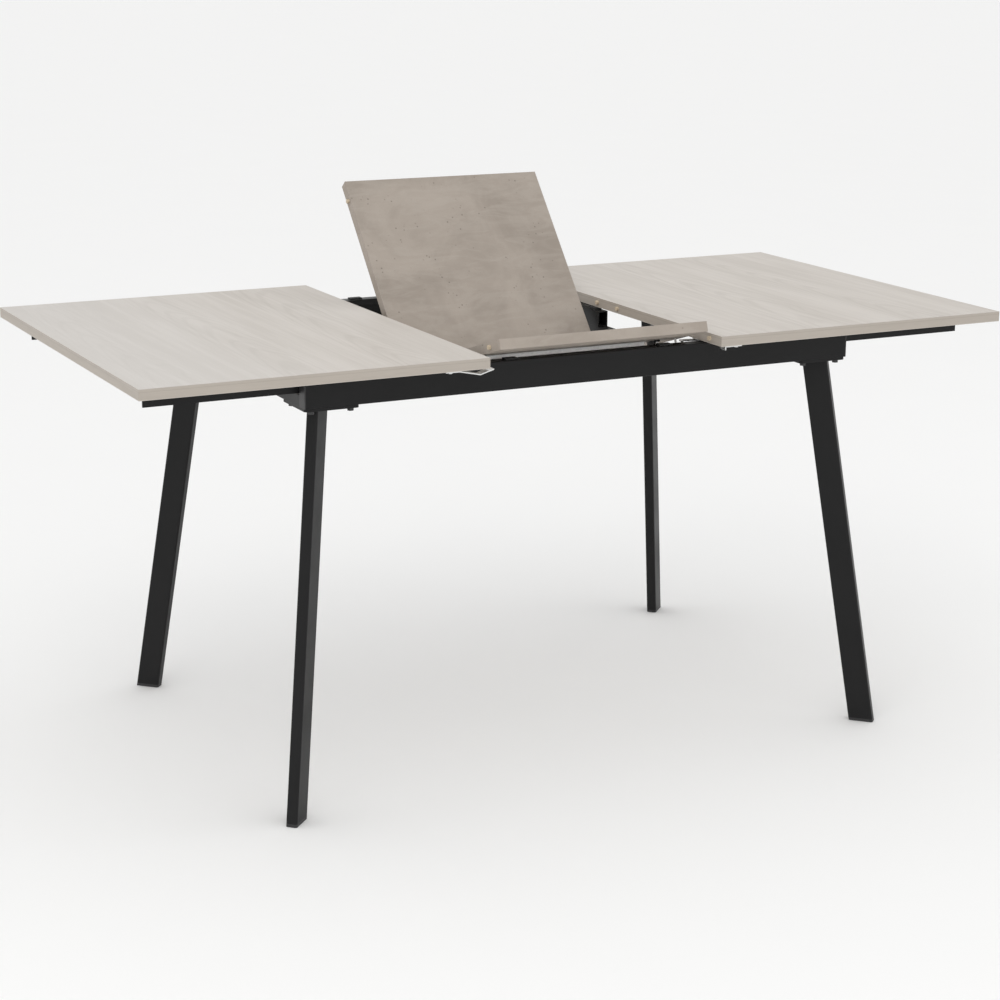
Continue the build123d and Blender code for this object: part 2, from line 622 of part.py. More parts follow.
def guide_plate():
    """Right guide plate: a curved slot for the rod's roller, and a lipped ramp for the rest lug."""
    slot_half = ROLLER_RADIUS + SLOT_CLEARANCE
    margin = slot_half + GUIDE_MARGIN
    rise = LUG_RADIUS + LUG_RAMP_GAP
    over = RAMP_OVERRUN / SLOT_RUN
    lug_y, lug_z = lug_centre()
    x_from, x_to = GUIDE_INNER, GUIDE_INNER + GUIDE_THICKNESS
    above = stow_arc(PIVOT_Y, PIVOT_Z, -margin, 0, 1, SLOT_STEPS)
    below = stow_arc(PIVOT_Y, PIVOT_Z, margin, 0, 1, SLOT_STEPS)
    front = PIVOT_Y - margin
    rear = PIVOT_Y + SLOT_RUN + margin
    band = [(front, RAIL_BOTTOM), (front, above[0][1])] + above
    band += [(rear, above[-1][1]), (rear, below[-1][1])]
    band += list(reversed(below))[:SLOT_STEPS // 2] + [(PIVOT_Y + SLOT_RUN / 3, RAIL_BOTTOM)]
    surface = stow_arc(lug_y, lug_z, rise, -over, 1 + over, RAMP_STEPS)
    depth = stow_arc(lug_y, lug_z, rise + RAMP_DEPTH, -over, 1 + over, RAMP_STEPS)
    lip_depth = stow_arc(lug_y, lug_z, rise + RAMP_LIP_THICKNESS, -over, 1 + over, RAMP_STEPS)
    web = stow_arc(PIVOT_Y, PIVOT_Z, slot_half, WEB_START, 1, 1)
    web += list(reversed(stow_arc(lug_y, lug_z, rise + RAMP_LIP_THICKNESS, 0, WEB_END, 1)))
    plate = side_profile(band, x_from, x_to)
    plate = plate + side_profile(web, x_from, x_to)
    plate = plate + side_profile(surface + list(reversed(depth)), x_from, x_to)
    plate = plate + side_profile(surface + list(reversed(lip_depth)), x_from - RAMP_LIP, x_from)
    start_angle = math.degrees(math.atan2(PIVOT_Z - STOW_Z, PIVOT_Y - STOW_Y))
    path = CenterArc((STOW_Y, STOW_Z), SLOT_RADIUS, start_angle, LEAF_TILT)
    slot = extrude(Plane.YZ * SlotArc(path, 2 * slot_half), amount=GUIDE_THICKNESS, dir=(1, 0, 0))
    return plate - Pos(x_from, 0, 0) * slot


def pivot_rod():
    """Steel rod that the front half of the leaf turns on, from one guide plate to the other."""
    reach = CROSS_INNER - GUIDE_END_GAP
    return rod_x(-reach, reach, PIVOT_Y, PIVOT_Z, ROD_RADIUS)


def guide_roller():
    """Right nylon roller, on the rod's end inside the slot."""
    x_from = GUIDE_INNER - GUIDE_END_GAP
    x_to = CROSS_INNER - GUIDE_END_GAP
    bore = rod_x(x_from, x_to, PIVOT_Y, PIVOT_Z, ROD_RADIUS + RUNNING_CLEARANCE)
    return rod_x(x_from, x_to, PIVOT_Y, PIVOT_Z, ROLLER_RADIUS) - bore


def pivot_bush(inner):
    """Bush between the rod and the leaf's bracket, drawn on the right."""
    middle = inner + BRACKET_THICKNESS / 2
    x_from, x_to = middle - BUSH_LENGTH / 2, middle + BUSH_LENGTH / 2
    bore = rod_x(x_from, x_to, PIVOT_Y, PIVOT_Z, ROD_RADIUS + RUNNING_CLEARANCE)
    return rod_x(x_from, x_to, PIVOT_Y, PIVOT_Z, BUSH_RADIUS) - bore


# ---- leaf fittings, drawn with the leaf flat --------------------------------------------------
def screw_up(x, y, z_seat):
    """A pan head screw from below into the leaf, and its hole."""
    tip = LEAF_UNDERSIDE + SCREW_DEPTH
    head = rod_z(x, y, z_seat - SCREW_HEAD_HEIGHT, z_seat, SCREW_HEAD_RADIUS)
    shank = rod_z(x, y, z_seat, tip, SCREW_RADIUS)
    return head + shank, shank


def pivot_bracket(inner):
    """Steel bracket that hangs from the leaf and holds the bush, drawn on the right."""
    y_from = PIVOT_Y - BRACKET_LENGTH / 2
    y_to = PIVOT_Y + BRACKET_LENGTH / 2
    bottom = PIVOT_Z - BRACKET_BELOW_PIVOT
    web = block(inner, inner + BRACKET_THICKNESS, y_from, y_to, bottom, LEAF_UNDERSIDE)
    flange_bottom = LEAF_UNDERSIDE - BRACKET_THICKNESS
    flange = block(inner, inner + BRACKET_FLANGE, y_from, y_to, flange_bottom, LEAF_UNDERSIDE)
    bore = rod_x(inner, inner + BRACKET_THICKNESS, PIVOT_Y, PIVOT_Z, BUSH_RADIUS + RUNNING_CLEARANCE)
    return web + flange - bore


def bracket_screw_places(inner):
    """Two screws through each bracket's flange, one before and one behind the rod."""
    x = inner + (BRACKET_THICKNESS + BRACKET_FLANGE) / 2
    offset = BRACKET_LENGTH / 2 - SCREW_HEAD_RADIUS - SCREW_EDGE
    return [(x, PIVOT_Y - offset), (x, PIVOT_Y + offset)]


def cross_bar():
    """Bright steel channel under the front half, over the pivot rod."""
    y_from, y_to = PIVOT_Y - BAR_WIDTH / 2, PIVOT_Y + BAR_WIDTH / 2
    z_from = LEAF_UNDERSIDE - BAR_HEIGHT
    outer = block(BAR_FROM, BAR_TO, y_from, y_to, z_from, LEAF_UNDERSIDE)
    trough_top = LEAF_UNDERSIDE - BAR_WALL
    return outer - block(BAR_FROM, BAR_TO, y_from + BAR_WALL, y_to - BAR_WALL, z_from, trough_top)


def rest_lug():
    """Right nylon lug near the fold, round underneath, which rides on the guide's ramp."""
    centre_z = LEAF_UNDERSIDE - LUG_DROP
    wheel = rod_x(LUG_INNER, LUG_OUTER, -LUG_SETBACK, centre_z, LUG_RADIUS)
    x_to = LEAF_END
    y_from, y_to = -LUG_SETBACK - LUG_RADIUS, -LUG_SETBACK + LUG_RADIUS
    stem = block(LUG_INNER, x_to, y_from, y_to, centre_z, LEAF_UNDERSIDE)
    return wheel + stem


def lug_screw():
    """Screw up through a lug, sunk into it, and its hole."""
    x = (LUG_INNER + LEAF_END) / 2
    z_seat = LEAF_UNDERSIDE - LUG_DROP
    screw, shank = screw_up(x, -LUG_SETBACK, z_seat)
    sink = rod_z(x, -LUG_SETBACK, z_seat - LUG_RADIUS, z_seat, SCREW_HEAD_RADIUS)
    return screw, shank, sink


def hinge_half(knuckle_spans, side):
    """One half of a fold hinge: a plate on the edge face, with its knuckles. side is -1 for the front."""
    face = side * FOLD_GAP / 2
    back = side * (FOLD_GAP / 2 + HINGE_PLATE)
    half = HINGE_LENGTH / 2
    plate = block(-half, half, face, back, FOLD_Z - HINGE_PLATE_DEPTH, FOLD_Z)
    plate = plate - rod_x(-half, half, 0, FOLD_Z, KNUCKLE_POCKET)
    for start, end in knuckle_spans:
        knuckle = rod_x(start, end, 0, FOLD_Z, KNUCKLE_RADIUS)
        arm = block(start, end, face, back, FOLD_Z - KNUCKLE_POCKET, FOLD_Z)
        plate = plate + knuckle + arm
    plate = plate - rod_x(-half, half, 0, FOLD_Z, HINGE_PIN_RADIUS + RUNNING_CLEARANCE)
    for offset in (-HINGE_SCREW_SPREAD, HINGE_SCREW_SPREAD):
        plate = plate - rod_y(offset, face, back, FOLD_Z - HINGE_SCREW_DROP, HINGE_SCREW_RADIUS)
    return plate


def knuckle_spans():
    """Where the outer knuckles and the middle one lie along a hinge."""
    half = HINGE_LENGTH / 2
    outer = HINGE_LENGTH * KNUCKLE_SHARE
    outer_spans = [(-half, -half + outer), (half - outer, half)]
    middle_spans = [(-half + outer + KNUCKLE_GAP, half - outer - KNUCKLE_GAP)]
    return outer_spans, middle_spans


def hinge_screws(side):
    """Screws of one hinge half, flush in its plate and deep in the leaf's edge."""
    face = side * FOLD_GAP / 2
    tip = side * (FOLD_GAP / 2 + HINGE_SCREW_LENGTH)
    z = FOLD_Z - HINGE_SCREW_DROP
    return [rod_y(x, face, tip, z, HINGE_SCREW_RADIUS) for x in (-HINGE_SCREW_SPREAD, HINGE_SCREW_SPREAD)]


def hinge_pocket(side):
    """What one hinge half takes out of its board: the plate's recess, knuckle room and screw holes."""
    half = HINGE_LENGTH / 2
    back = side * (FOLD_GAP / 2 + HINGE_PLATE)
    recess = block(-half, half, 0, back, FOLD_Z - HINGE_PLATE_DEPTH, FOLD_Z)
    room = rod_x(-half - KNUCKLE_GAP, half + KNUCKLE_GAP, 0, FOLD_Z, KNUCKLE_POCKET)
    return [recess, room] + hinge_screws(side)


def at_hinges(shapes):
    """Copies of the shapes at both hinges."""
    return [Pos(x, 0, 0) * shape for x in (-HINGE_X, HINGE_X) for shape in shapes]


# ---- latch under the right half, beside the leaf's end ----------------------------------------
def latch_plate_bottom():
    """Underside of the latch's base plate."""
    return BOARD_UNDERSIDE - LATCH_PLATE


def latch_base():
    """Bright steel base plate under the right half, bored for the rivet."""
    half_length, half_width = LATCH_PLATE_LENGTH / 2, LATCH_PLATE_WIDTH / 2
    bottom = latch_plate_bottom()
    plate = block(-half_length, half_length, -half_width, half_width, bottom, BOARD_UNDERSIDE)
    plate = fillet(plate.edges().filter_by(Axis.Z), half_width / 3)
    return Pos(LATCH_PIVOT_X, LATCH_PIVOT_Y, 0) * plate


def latch_rivet():
    """Rivet that the hook swings on, with its head below; its shank ends in the board."""
    hook_top = latch_plate_bottom() - LATCH_GAP
    hook_bottom = hook_top - LATCH_ARM_THICKNESS
    head_top = hook_bottom - LATCH_GAP
    head = rod_z(LATCH_PIVOT_X, LATCH_PIVOT_Y, head_top - RIVET_HEAD_HEIGHT, head_top, RIVET_HEAD_RADIUS)
    shank = rod_z(LATCH_PIVOT_X, LATCH_PIVOT_Y, head_top, BOARD_UNDERSIDE + SCREW_DEPTH, RIVET_RADIUS)
    return head + shank, shank


def latch_hook():
    """Bright steel hook: an eye round the rivet, an arm with a nib, and a bent finger tab, swung open."""
    x, y = LATCH_PIVOT_X, LATCH_PIVOT_Y
    top = latch_plate_bottom() - LATCH_GAP
    bottom = top - LATCH_ARM_THICKNESS
    tip = x - LATCH_ARM
    eye = rod_z(x, y, bottom, top, LATCH_EYE_RADIUS)
    arm_rear = y + LATCH_ARM_WIDTH
    arm = block(tip, x, y, arm_rear, bottom, top)
    nib = block(tip, tip + LATCH_NIB, arm_rear - LATCH_NIB_REACH, arm_rear, bottom, top)
    end = x - LATCH_TAB
    low = top - LATCH_TAB_DROP
    upper = [(x, top), (x - LATCH_EYE_RADIUS, top), (end, low)]
    lower = [(across, height - LATCH_TAB_THICKNESS) for across, height in reversed(upper)]
    tab = front_profile(upper + lower, arm_rear, arm_rear + LATCH_TAB_WIDTH)
    bore = rod_z(x, y, bottom, top, RIVET_RADIUS + RUNNING_CLEARANCE)
    hook = eye + arm + nib + tab - bore
    return hook.rotate(Axis((x, y, 0), (0, 0, 1)), -LATCH_OPEN)


def latch_stud():
    """Stud under the leaf, drawn flat, which the hook's nib holds when the right half is pushed home."""
    travel = TOP_INNER - LEAF_END - CLOSED_GAP
    x = LATCH_PIVOT_X - travel - LATCH_ARM + LATCH_NIB + STUD_CLEARANCE + STUD_RADIUS
    y = LATCH_PIVOT_Y - STUD_SIDE_CLEARANCE - STUD_RADIUS
    return rod_z(x, y, LEAF_UNDERSIDE - STUD_LENGTH, LEAF_UNDERSIDE + SCREW_DEPTH, STUD_RADIUS)


# ---- assembly ---------------------------------------------------------------------------------
def build_frame():
    """Everything that stands still."""
    bolts = []
    caps = []
    for depth_name, depth in DEPTHS:
        save(f"{depth_name}_rail", to_depth(side_rail(), depth))
        for side_name, side in SIDES:
            corner = f"{depth_name}_{side_name}"
            save(f"{corner}_leg", to_side(to_depth(leg(), depth), side))
            save(f"{corner}_foot", to_side(to_depth(foot(), depth), side))
            save(f"{corner}_leg_plate", to_side(to_depth(leg_plate(), depth), side))
            caps.append(to_side(to_depth(rail_end_cap(), depth), side))
            for x, y in bolt_places():
                bolts += leg_bolt(side * x, depth * y)
    save("leg_bolts", bolts)
    save("rail_end_caps", caps)
    for side_name, side in SIDES:
        save(f"{side_name}_end_rail", to_side(end_rail(), side))
        save(f"{side_name}_cross_rail", to_side(cross_rail(), side))
        save(f"{side_name}_top_support", to_side(top_support(), side))
        save(f"{side_name}_guide_plate", to_side(guide_plate(), side))
    save("buffer_pads", buffer_pads())


def build_top(side_name, side):
    """One top half with what is fixed under it."""
    core, band = board_and_band(TOP_INNER, TOP_OUTER, -TOP_SIDE, TOP_SIDE, BOARD_UNDERSIDE, TABLE_HEIGHT)
    core = to_side(cut_all(core, runner_screw_holes()), side)
    band = to_side(band, side)
    if side > 0:
        catch, catch_screw, catch_hole = right_catch()
        rivet, rivet_hole = latch_rivet()
        core = core - rivet_hole
        pegs = dowels(TOP_INNER, -1, DOWEL_YS)
        save("right_top_dowels", pegs)
        save("latch_base", latch_base() - rivet_hole)
        save("latch_hook", latch_hook())
    else:
        catch, catch_screw, catch_hole = left_catch()
        pegs = dowel_holes(-TOP_INNER, -1, DOWEL_YS)
    save(f"{side_name}_catch", catch)
    save(f"{side_name}_top_board", cut_all(core, pegs + [catch_hole]))
    save(f"{side_name}_top_edge_band", cut_all(band, pegs))
    screws = [catch_screw, rivet] if side > 0 else [catch_screw]
    shoes = []
    for depth_name, depth in DEPTHS:
        save(f"{side_name}_{depth_name}_runner", to_side(to_depth(runner(), depth), side))
        shoes += [to_side(to_depth(glide_shoe(inset), depth), side) for inset in SHOE_INSETS]
        screws += [to_side(to_depth(screw, depth), side) for screw in runner_screws()]
    save(f"{side_name}_glide_shoes", shoes)
    save(f"{side_name}_top_screws", screws)


def build_carriage():
    """The rod, rollers and bushes that carry the leaf in its guide plates."""
    save("pivot_rod", pivot_rod())
    save("guide_rollers", [to_side(guide_roller(), side) for _, side in SIDES])
    save("pivot_bushes", [to_side(pivot_bush(inner), side) for side, inner in BRACKET_PLACES])


def build_front_leaf():
    """The front half of the leaf with its fittings, hung on the rod."""
    outer_spans, _ = knuckle_spans()
    core, band = board_and_band(-LEAF_END, LEAF_END, -TOP_SIDE, -FOLD_GAP / 2, LEAF_UNDERSIDE, TABLE_HEIGHT)
    brackets = [to_side(pivot_bracket(inner), side) for side, inner in BRACKET_PLACES]
    bar = cross_bar()
    fasteners = []
    holes = []
    sinks = []
    bracket_seat = LEAF_UNDERSIDE - BRACKET_THICKNESS
    places = [(x, PIVOT_Y, LEAF_UNDERSIDE - BAR_WALL) for x in BAR_SCREWS]
    for side, inner in BRACKET_PLACES:
        places += [(side * x, y, bracket_seat) for x, y in bracket_screw_places(inner)]
    for x, y, seat in places:
        screw, shank = screw_up(x, y, seat)
        fasteners.append(screw)
        holes.append(shank)
    for _, side in SIDES:
        for target, shape in zip((fasteners, holes, sinks), lug_screw()):
            target.append(to_side(shape, side))
    fasteners += at_hinges(hinge_screws(-1))
    lugs = [cut_all(to_side(rest_lug(), side), holes + sinks) for _, side in SIDES]
    pegs = dowels(-LEAF_END, -1, DOWEL_YS[:2])
    sockets = dowel_holes(LEAF_END, -1, DOWEL_YS[:2])
    pockets = at_hinges(hinge_pocket(-1))
    stud = latch_stud()
    save("front_leaf_board", hang_front_half(cut_all(core, holes + pegs + sockets + pockets + [stud])))
    save("front_leaf_edge_band", hang_front_half(cut_all(band, pegs + sockets + pockets)))
    save("front_leaf_dowels", [hang_front_half(peg) for peg in pegs])
    save("pivot_brackets", [hang_front_half(cut_all(bracket, holes)) for bracket in brackets])
    save("leaf_cross_bar", hang_front_half(cut_all(bar, holes)))
    save("rest_lugs", [hang_front_half(lug) for lug in lugs])
    save("latch_stud", hang_front_half(stud))
    save("front_leaf_fasteners", [hang_front_half(piece) for piece in fasteners])
    save("front_hinge_plates", [hang_front_half(half) for half in at_hinges([hinge_half(outer_spans, -1)])])


def build_rear_leaf():
    """The rear half of the leaf, standing on the fold."""
    _, middle_spans = knuckle_spans()
    core, band = board_and_band(-LEAF_END, LEAF_END, FOLD_GAP / 2, TOP_SIDE, LEAF_UNDERSIDE, TABLE_HEIGHT)
    pegs = dowels(-LEAF_END, -1, DOWEL_YS[2:])
    sockets = dowel_holes(LEAF_END, -1, DOWEL_YS[2:])
    pockets = at_hinges(hinge_pocket(1))
    pin = rod_x(-HINGE_LENGTH / 2, HINGE_LENGTH / 2, 0, FOLD_Z, HINGE_PIN_RADIUS)
    save("hinge_pins", [hang_front_half(piece) for piece in at_hinges([pin])])
    save("rear_leaf_board", hang_rear_half(cut_all(core, pegs + sockets + pockets)))
    save("rear_leaf_edge_band", hang_rear_half(cut_all(band, pegs + sockets + pockets)))
    save("rear_leaf_dowels", [hang_rear_half(peg) for peg in pegs])
    save("rear_hinge_plates", [hang_rear_half(half) for half in at_hinges([hinge_half(middle_spans, 1)])])
    save("rear_hinge_screws", [hang_rear_half(screw) for screw in at_hinges(hinge_screws(1))])


def main():
    """Builds every node."""
    os.makedirs("parts", exist_ok=True)
    build_frame()
    for side_name, side in SIDES:
        build_top(side_name, side)
    build_carriage()
    build_front_leaf()
    build_rear_leaf()


main()
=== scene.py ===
"""Finishes, weld beads and studio for an extendable dining table with a folding leaf."""

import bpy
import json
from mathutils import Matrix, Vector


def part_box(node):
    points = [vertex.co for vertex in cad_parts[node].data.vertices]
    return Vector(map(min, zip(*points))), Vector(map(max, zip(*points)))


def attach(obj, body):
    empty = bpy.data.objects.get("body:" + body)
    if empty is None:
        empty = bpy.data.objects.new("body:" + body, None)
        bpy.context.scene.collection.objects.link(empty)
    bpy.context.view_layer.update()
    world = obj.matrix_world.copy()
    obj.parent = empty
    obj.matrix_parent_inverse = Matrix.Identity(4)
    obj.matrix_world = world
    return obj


bl_info = {
    "name": "Extendable dining table",
    "version": (1, 0, 0),
    "blender": (4, 5, 0),
    "location": "View3D > Sidebar > Table",
    "description": "Finishes, weld beads and studio for an extendable dining table",
    "category": "Object",
}

import json
import math

import bpy
import numpy as np
from mathutils import Matrix, Vector

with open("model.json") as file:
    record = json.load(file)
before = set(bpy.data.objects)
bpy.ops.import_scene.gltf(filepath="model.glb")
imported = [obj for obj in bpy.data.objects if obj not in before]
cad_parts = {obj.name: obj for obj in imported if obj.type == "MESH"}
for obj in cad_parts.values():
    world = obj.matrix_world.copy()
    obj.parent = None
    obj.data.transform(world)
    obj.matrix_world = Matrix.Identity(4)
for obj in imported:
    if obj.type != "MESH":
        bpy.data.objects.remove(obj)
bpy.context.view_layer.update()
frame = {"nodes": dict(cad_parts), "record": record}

CORNERS = [f"{depth}_{side}" for depth in ("front", "rear") for side in ("left", "right")]
WOOD_BOARDS = ["left_top_board", "right_top_board"]
WOOD_BANDS = ["left_top_edge_band", "right_top_edge_band"]
LEAF_BOARDS = ["front_leaf_board", "rear_leaf_board"]
LEAF_BANDS = ["front_leaf_edge_band", "rear_leaf_edge_band"]

WASHED_CLOUD = (0.62, 0.595, 0.56)
COOL_WOOD = (0.600, 0.580, 0.555)
WOOD_PORE = (0.36, 0.32, 0.28)
WORN_WOOD = (0.72, 0.70, 0.67)
COOL_FROM, COOL_TO = -0.80, -0.35           # places along the table where the decor turns cooler
BAND_LINE_HEIGHT = 0.7553
BAND_LINE_TONE = (0.27, 0.235, 0.20)
BAND_HIGHLIGHT_FROM, BAND_HIGHLIGHT_TO = 0.7422, 0.7436     # heights that the painted highlight on the lower arris fades between
# colour of the painted highlight on the band's lower arris
BAND_LOW_ARRIS_HIGHLIGHT = (0.62, 0.58, 0.53)
WORN_BAND = (0.72, 0.69, 0.65)
TROWEL_TONE = (0.45, 0.40, 0.35)
SAND_TONE = (0.24, 0.21, 0.18)
PIT_TONE = (0.15, 0.13, 0.11)
WORN_CONCRETE = (0.58, 0.53, 0.47)
DUST_TONE = (0.30, 0.29, 0.27)
WORN_ZINC = (0.92, 0.92, 0.91)
BEECH_FLECK = (0.26, 0.17, 0.10)
WORN_BEECH = (0.85, 0.76, 0.62)
RUBBER = (0.03, 0.03, 0.03)
BLACK_STEEL = (0.035, 0.035, 0.036)

LEG_LEAN = 1.03                 # a leaning leg's section is this much longer where it meets its plate
RIPPLE_SWELL = 0.18             # share of its radius that the bead swells by
BEAD_SUNK = 0.3                 # share of the bead's radius that it sits below the leg's top
BEAD_STEPS = 360
BEAD_SIDES = 14
CORNER_STEPS = 12

FLOOR_REACH = 30.0
FLOOR_LEVEL = -0.0005
LAMPS_LOOK_AT = (0, 0, 0.6)
KEY_PLACE = (-2.2, -2.6, 3.6)
KEY_SIZE = 2.4
KEY_COLOUR = (1.0, 0.99, 0.97)
FILL_PLACE = (3.2, -1.4, 2.2)
FILL_SIZE = 2.0
FILL_COLOUR = (0.98, 0.99, 1.0)
CAMERA_PLACE = (-1.885, -3.710, 1.491)
CAMERA_TURNS = (26.93, 14.70, 0.41)         # yaw, pitch down and roll in degrees
CAMERA_SENSOR = 36.0


# ---- settings a user would change --------------------------------------------------------------
class TopFinish(bpy.types.PropertyGroup):
    """Sizes and colours of the washed wood decor on the two top halves."""

    light: bpy.props.FloatVectorProperty(
        name="Light wood", description="Lightest tone of the decor", subtype="COLOR", size=3, min=0, max=1,
        default=(0.585, 0.545, 0.500))
    dark: bpy.props.FloatVectorProperty(
        name="Dark wood", description="Tone of the grain lines", subtype="COLOR", size=3, min=0, max=1,
        default=(0.360, 0.325, 0.285))
    edge: bpy.props.FloatVectorProperty(
        name="Edge band", description="Tone of the edge band", subtype="COLOR", size=3, min=0, max=1,
        default=(0.440, 0.395, 0.345))
    streak_width: bpy.props.FloatProperty(
        name="Streak width", description="Width of one grain streak across the board", default=0.012,
        min=0.001, max=0.1, unit="LENGTH")
    figure_width: bpy.props.FloatProperty(
        name="Figure width", description="Width of one plank's arched figure", default=0.2,
        min=0.05, max=0.6, unit="LENGTH")


class LeafFinish(bpy.types.PropertyGroup):
    """Sizes and colours of the concrete decor on the folding leaf."""

    light: bpy.props.FloatVectorProperty(
        name="Light concrete", description="Lightest tone of the decor", subtype="COLOR", size=3, min=0,
        max=1, default=(0.400, 0.348, 0.300))
    dark: bpy.props.FloatVectorProperty(
        name="Dark concrete", description="Tone of the darker clouds", subtype="COLOR", size=3, min=0, max=1,
        default=(0.290, 0.250, 0.212))
    cloud_size: bpy.props.FloatProperty(
        name="Cloud size", description="Size of the blotches", default=0.12, min=0.01, max=1, unit="LENGTH")


class FrameFinish(bpy.types.PropertyGroup):
    """Sizes and colours of the powder coat on the frame."""

    coat: bpy.props.FloatVectorProperty(
        name="Powder coat", description="Colour of the powder coat", subtype="COLOR", size=3, min=0, max=1,
        default=(0.0075, 0.0075, 0.0078))
    worn: bpy.props.FloatVectorProperty(
        name="Rubbed edge", description="Colour of the coat where its edges are rubbed", subtype="COLOR",
        size=3, min=0, max=1, default=(0.050, 0.049, 0.048))
    texture_size: bpy.props.FloatProperty(
        name="Texture size", description="Size of the coat's fine texture", default=0.0009,
        min=0.0001, max=0.01, unit="LENGTH")


class FittingFinish(bpy.types.PropertyGroup):
    """Colours of the zinc, nylon, plastic and beech pieces."""

    zinc: bpy.props.FloatVectorProperty(
        name="Bright zinc", description="Colour of the zinc plate", subtype="COLOR", size=3, min=0, max=1,
        default=(0.80, 0.80, 0.79))
    nylon: bpy.props.FloatVectorProperty(
        name="Nylon", description="Colour of the nylon pieces", subtype="COLOR", size=3, min=0, max=1,
        default=(0.70, 0.69, 0.65))
    plastic: bpy.props.FloatVectorProperty(
        name="Black plastic", description="Colour of caps and feet", subtype="COLOR", size=3, min=0, max=1,
        default=(0.026, 0.026, 0.027))
    beech: bpy.props.FloatVectorProperty(
        name="Beech", description="Colour of the dowels", subtype="COLOR", size=3, min=0, max=1,
        default=(0.72, 0.60, 0.44))


class WeldSizes(bpy.types.PropertyGroup):
    """Sizes of the weld bead round each leg's top."""

    leg_depth: bpy.props.FloatProperty(
        name="Leg depth", description="The leg tube's long side", default=0.045, min=0.01, unit="LENGTH")
    leg_width: bpy.props.FloatProperty(
        name="Leg width", description="The leg tube's short side", default=0.020, min=0.005, unit="LENGTH")
    corner: bpy.props.FloatProperty(
        name="Corner", description="Corner radius of the leg tube", default=0.0035, min=0.0005, unit="LENGTH")
    bead: bpy.props.FloatProperty(
        name="Bead", description="Radius of the bead", default=0.0017, min=0.0003, unit="LENGTH")
    ripple: bpy.props.FloatProperty(
        name="Ripple", description="Distance between two ripples of the bead", default=0.0026, min=0.0005,
        unit="LENGTH")


class StudioSettings(bpy.types.PropertyGroup):
    """Floor, lights and camera."""

    floor: bpy.props.FloatVectorProperty(
        name="Floor", description="Colour of the floor", subtype="COLOR", size=3, min=0, max=1,
        default=(0.93, 0.93, 0.925))
    sky: bpy.props.FloatProperty(name="Sky", description="Strength of the even light", default=0.96, min=0)
    key: bpy.props.FloatProperty(
        name="Key", description="Power of the large lamp over the front left", default=26.0, min=0,
        unit="POWER")
    fill: bpy.props.FloatProperty(
        name="Fill", description="Power of the lamp at the right", default=5.0, min=0, unit="POWER")
    lens: bpy.props.FloatProperty(
        name="Lens", description="Focal length of the camera", default=82.8, min=10, unit="CAMERA")


# ---- node helpers ------------------------------------------------------------------------------
def feed(tree, socket, value):
    """Links a socket to another, or sets its plain value."""
    if isinstance(value, bpy.types.NodeSocket):
        tree.links.new(value, socket)
    elif isinstance(value, (tuple, list)) and len(value) == 3 and socket.type == "RGBA":
        socket.default_value = (*value, 1.0)
    else:
        socket.default_value = value


def add(tree, kind, inputs=(), **settings):
    """A new node with its settings and its inputs, given by name or number."""
    node = tree.nodes.new(kind)
    for name, value in settings.items():
        setattr(node, name, value)
    for key, value in dict(inputs).items():
        feed(tree, node.inputs[key], value)
    return node


def maths(tree, operation, first, second=0.0, third=0.0):
    """The output of one Math node."""
    return add(tree, "ShaderNodeMath", {0: first, 1: second, 2: third}, operation=operation).outputs[0]


def spread(tree, value, low, high, to_low=0.0, to_high=1.0):
    """A value eased from one range to another, held at its ends."""
    inputs = {"Value": value, "From Min": low, "From Max": high, "To Min": to_low, "To Max": to_high}
    return add(tree, "ShaderNodeMapRange", inputs, interpolation_type="SMOOTHSTEP").outputs["Result"]


def blend_colours(tree, amount, first, second):
    """Two colours mixed by an amount."""
    node = add(tree, "ShaderNodeMix", data_type="RGBA", blend_type="MIX")
    for name, value in (("Factor_Float", amount), ("A_Color", first), ("B_Color", second)):
        socket = next(entry for entry in node.inputs if entry.identifier == name)
        feed(tree, socket, value)
    return next(entry for entry in node.outputs if entry.identifier == "Result_Color")


def noise(tree, vector, scale, detail=4.0, roughness=0.5, distortion=0.0):
    """The grey output of a noise texture."""
    inputs = {"Vector": vector, "Scale": scale, "Detail": detail, "Roughness": roughness,
              "Distortion": distortion}
    return add(tree, "ShaderNodeTexNoise", inputs).outputs[0]


def stretched(tree, vector, x, y, z):
    """The vector with each axis multiplied."""
    inputs = {0: vector, 1: (x, y, z)}
    return add(tree, "ShaderNodeVectorMath", inputs, operation="MULTIPLY").outputs[0]


def new_group(name, inputs, outputs):
    """A shader node group with named sockets; returns it with its input and output nodes."""
    group = bpy.data.node_groups.new(name, "ShaderNodeTree")
    for socket_name, kind, default in inputs:
        socket = group.interface.new_socket(name=socket_name, in_out="INPUT", socket_type=kind)
        if default is not None:
            socket.default_value = default
    for socket_name, kind in outputs:
        group.interface.new_socket(name=socket_name, in_out="OUTPUT", socket_type=kind)
    return group, group.nodes.new("NodeGroupInput"), group.nodes.new("NodeGroupOutput")


def placed(tree, group, inputs):
    """A shared effect placed in a material with its own values."""
    node = tree.nodes.new("ShaderNodeGroup")
    node.node_tree = group
    for name, value in inputs.items():
        feed(tree, node.inputs[name], value)
    return node


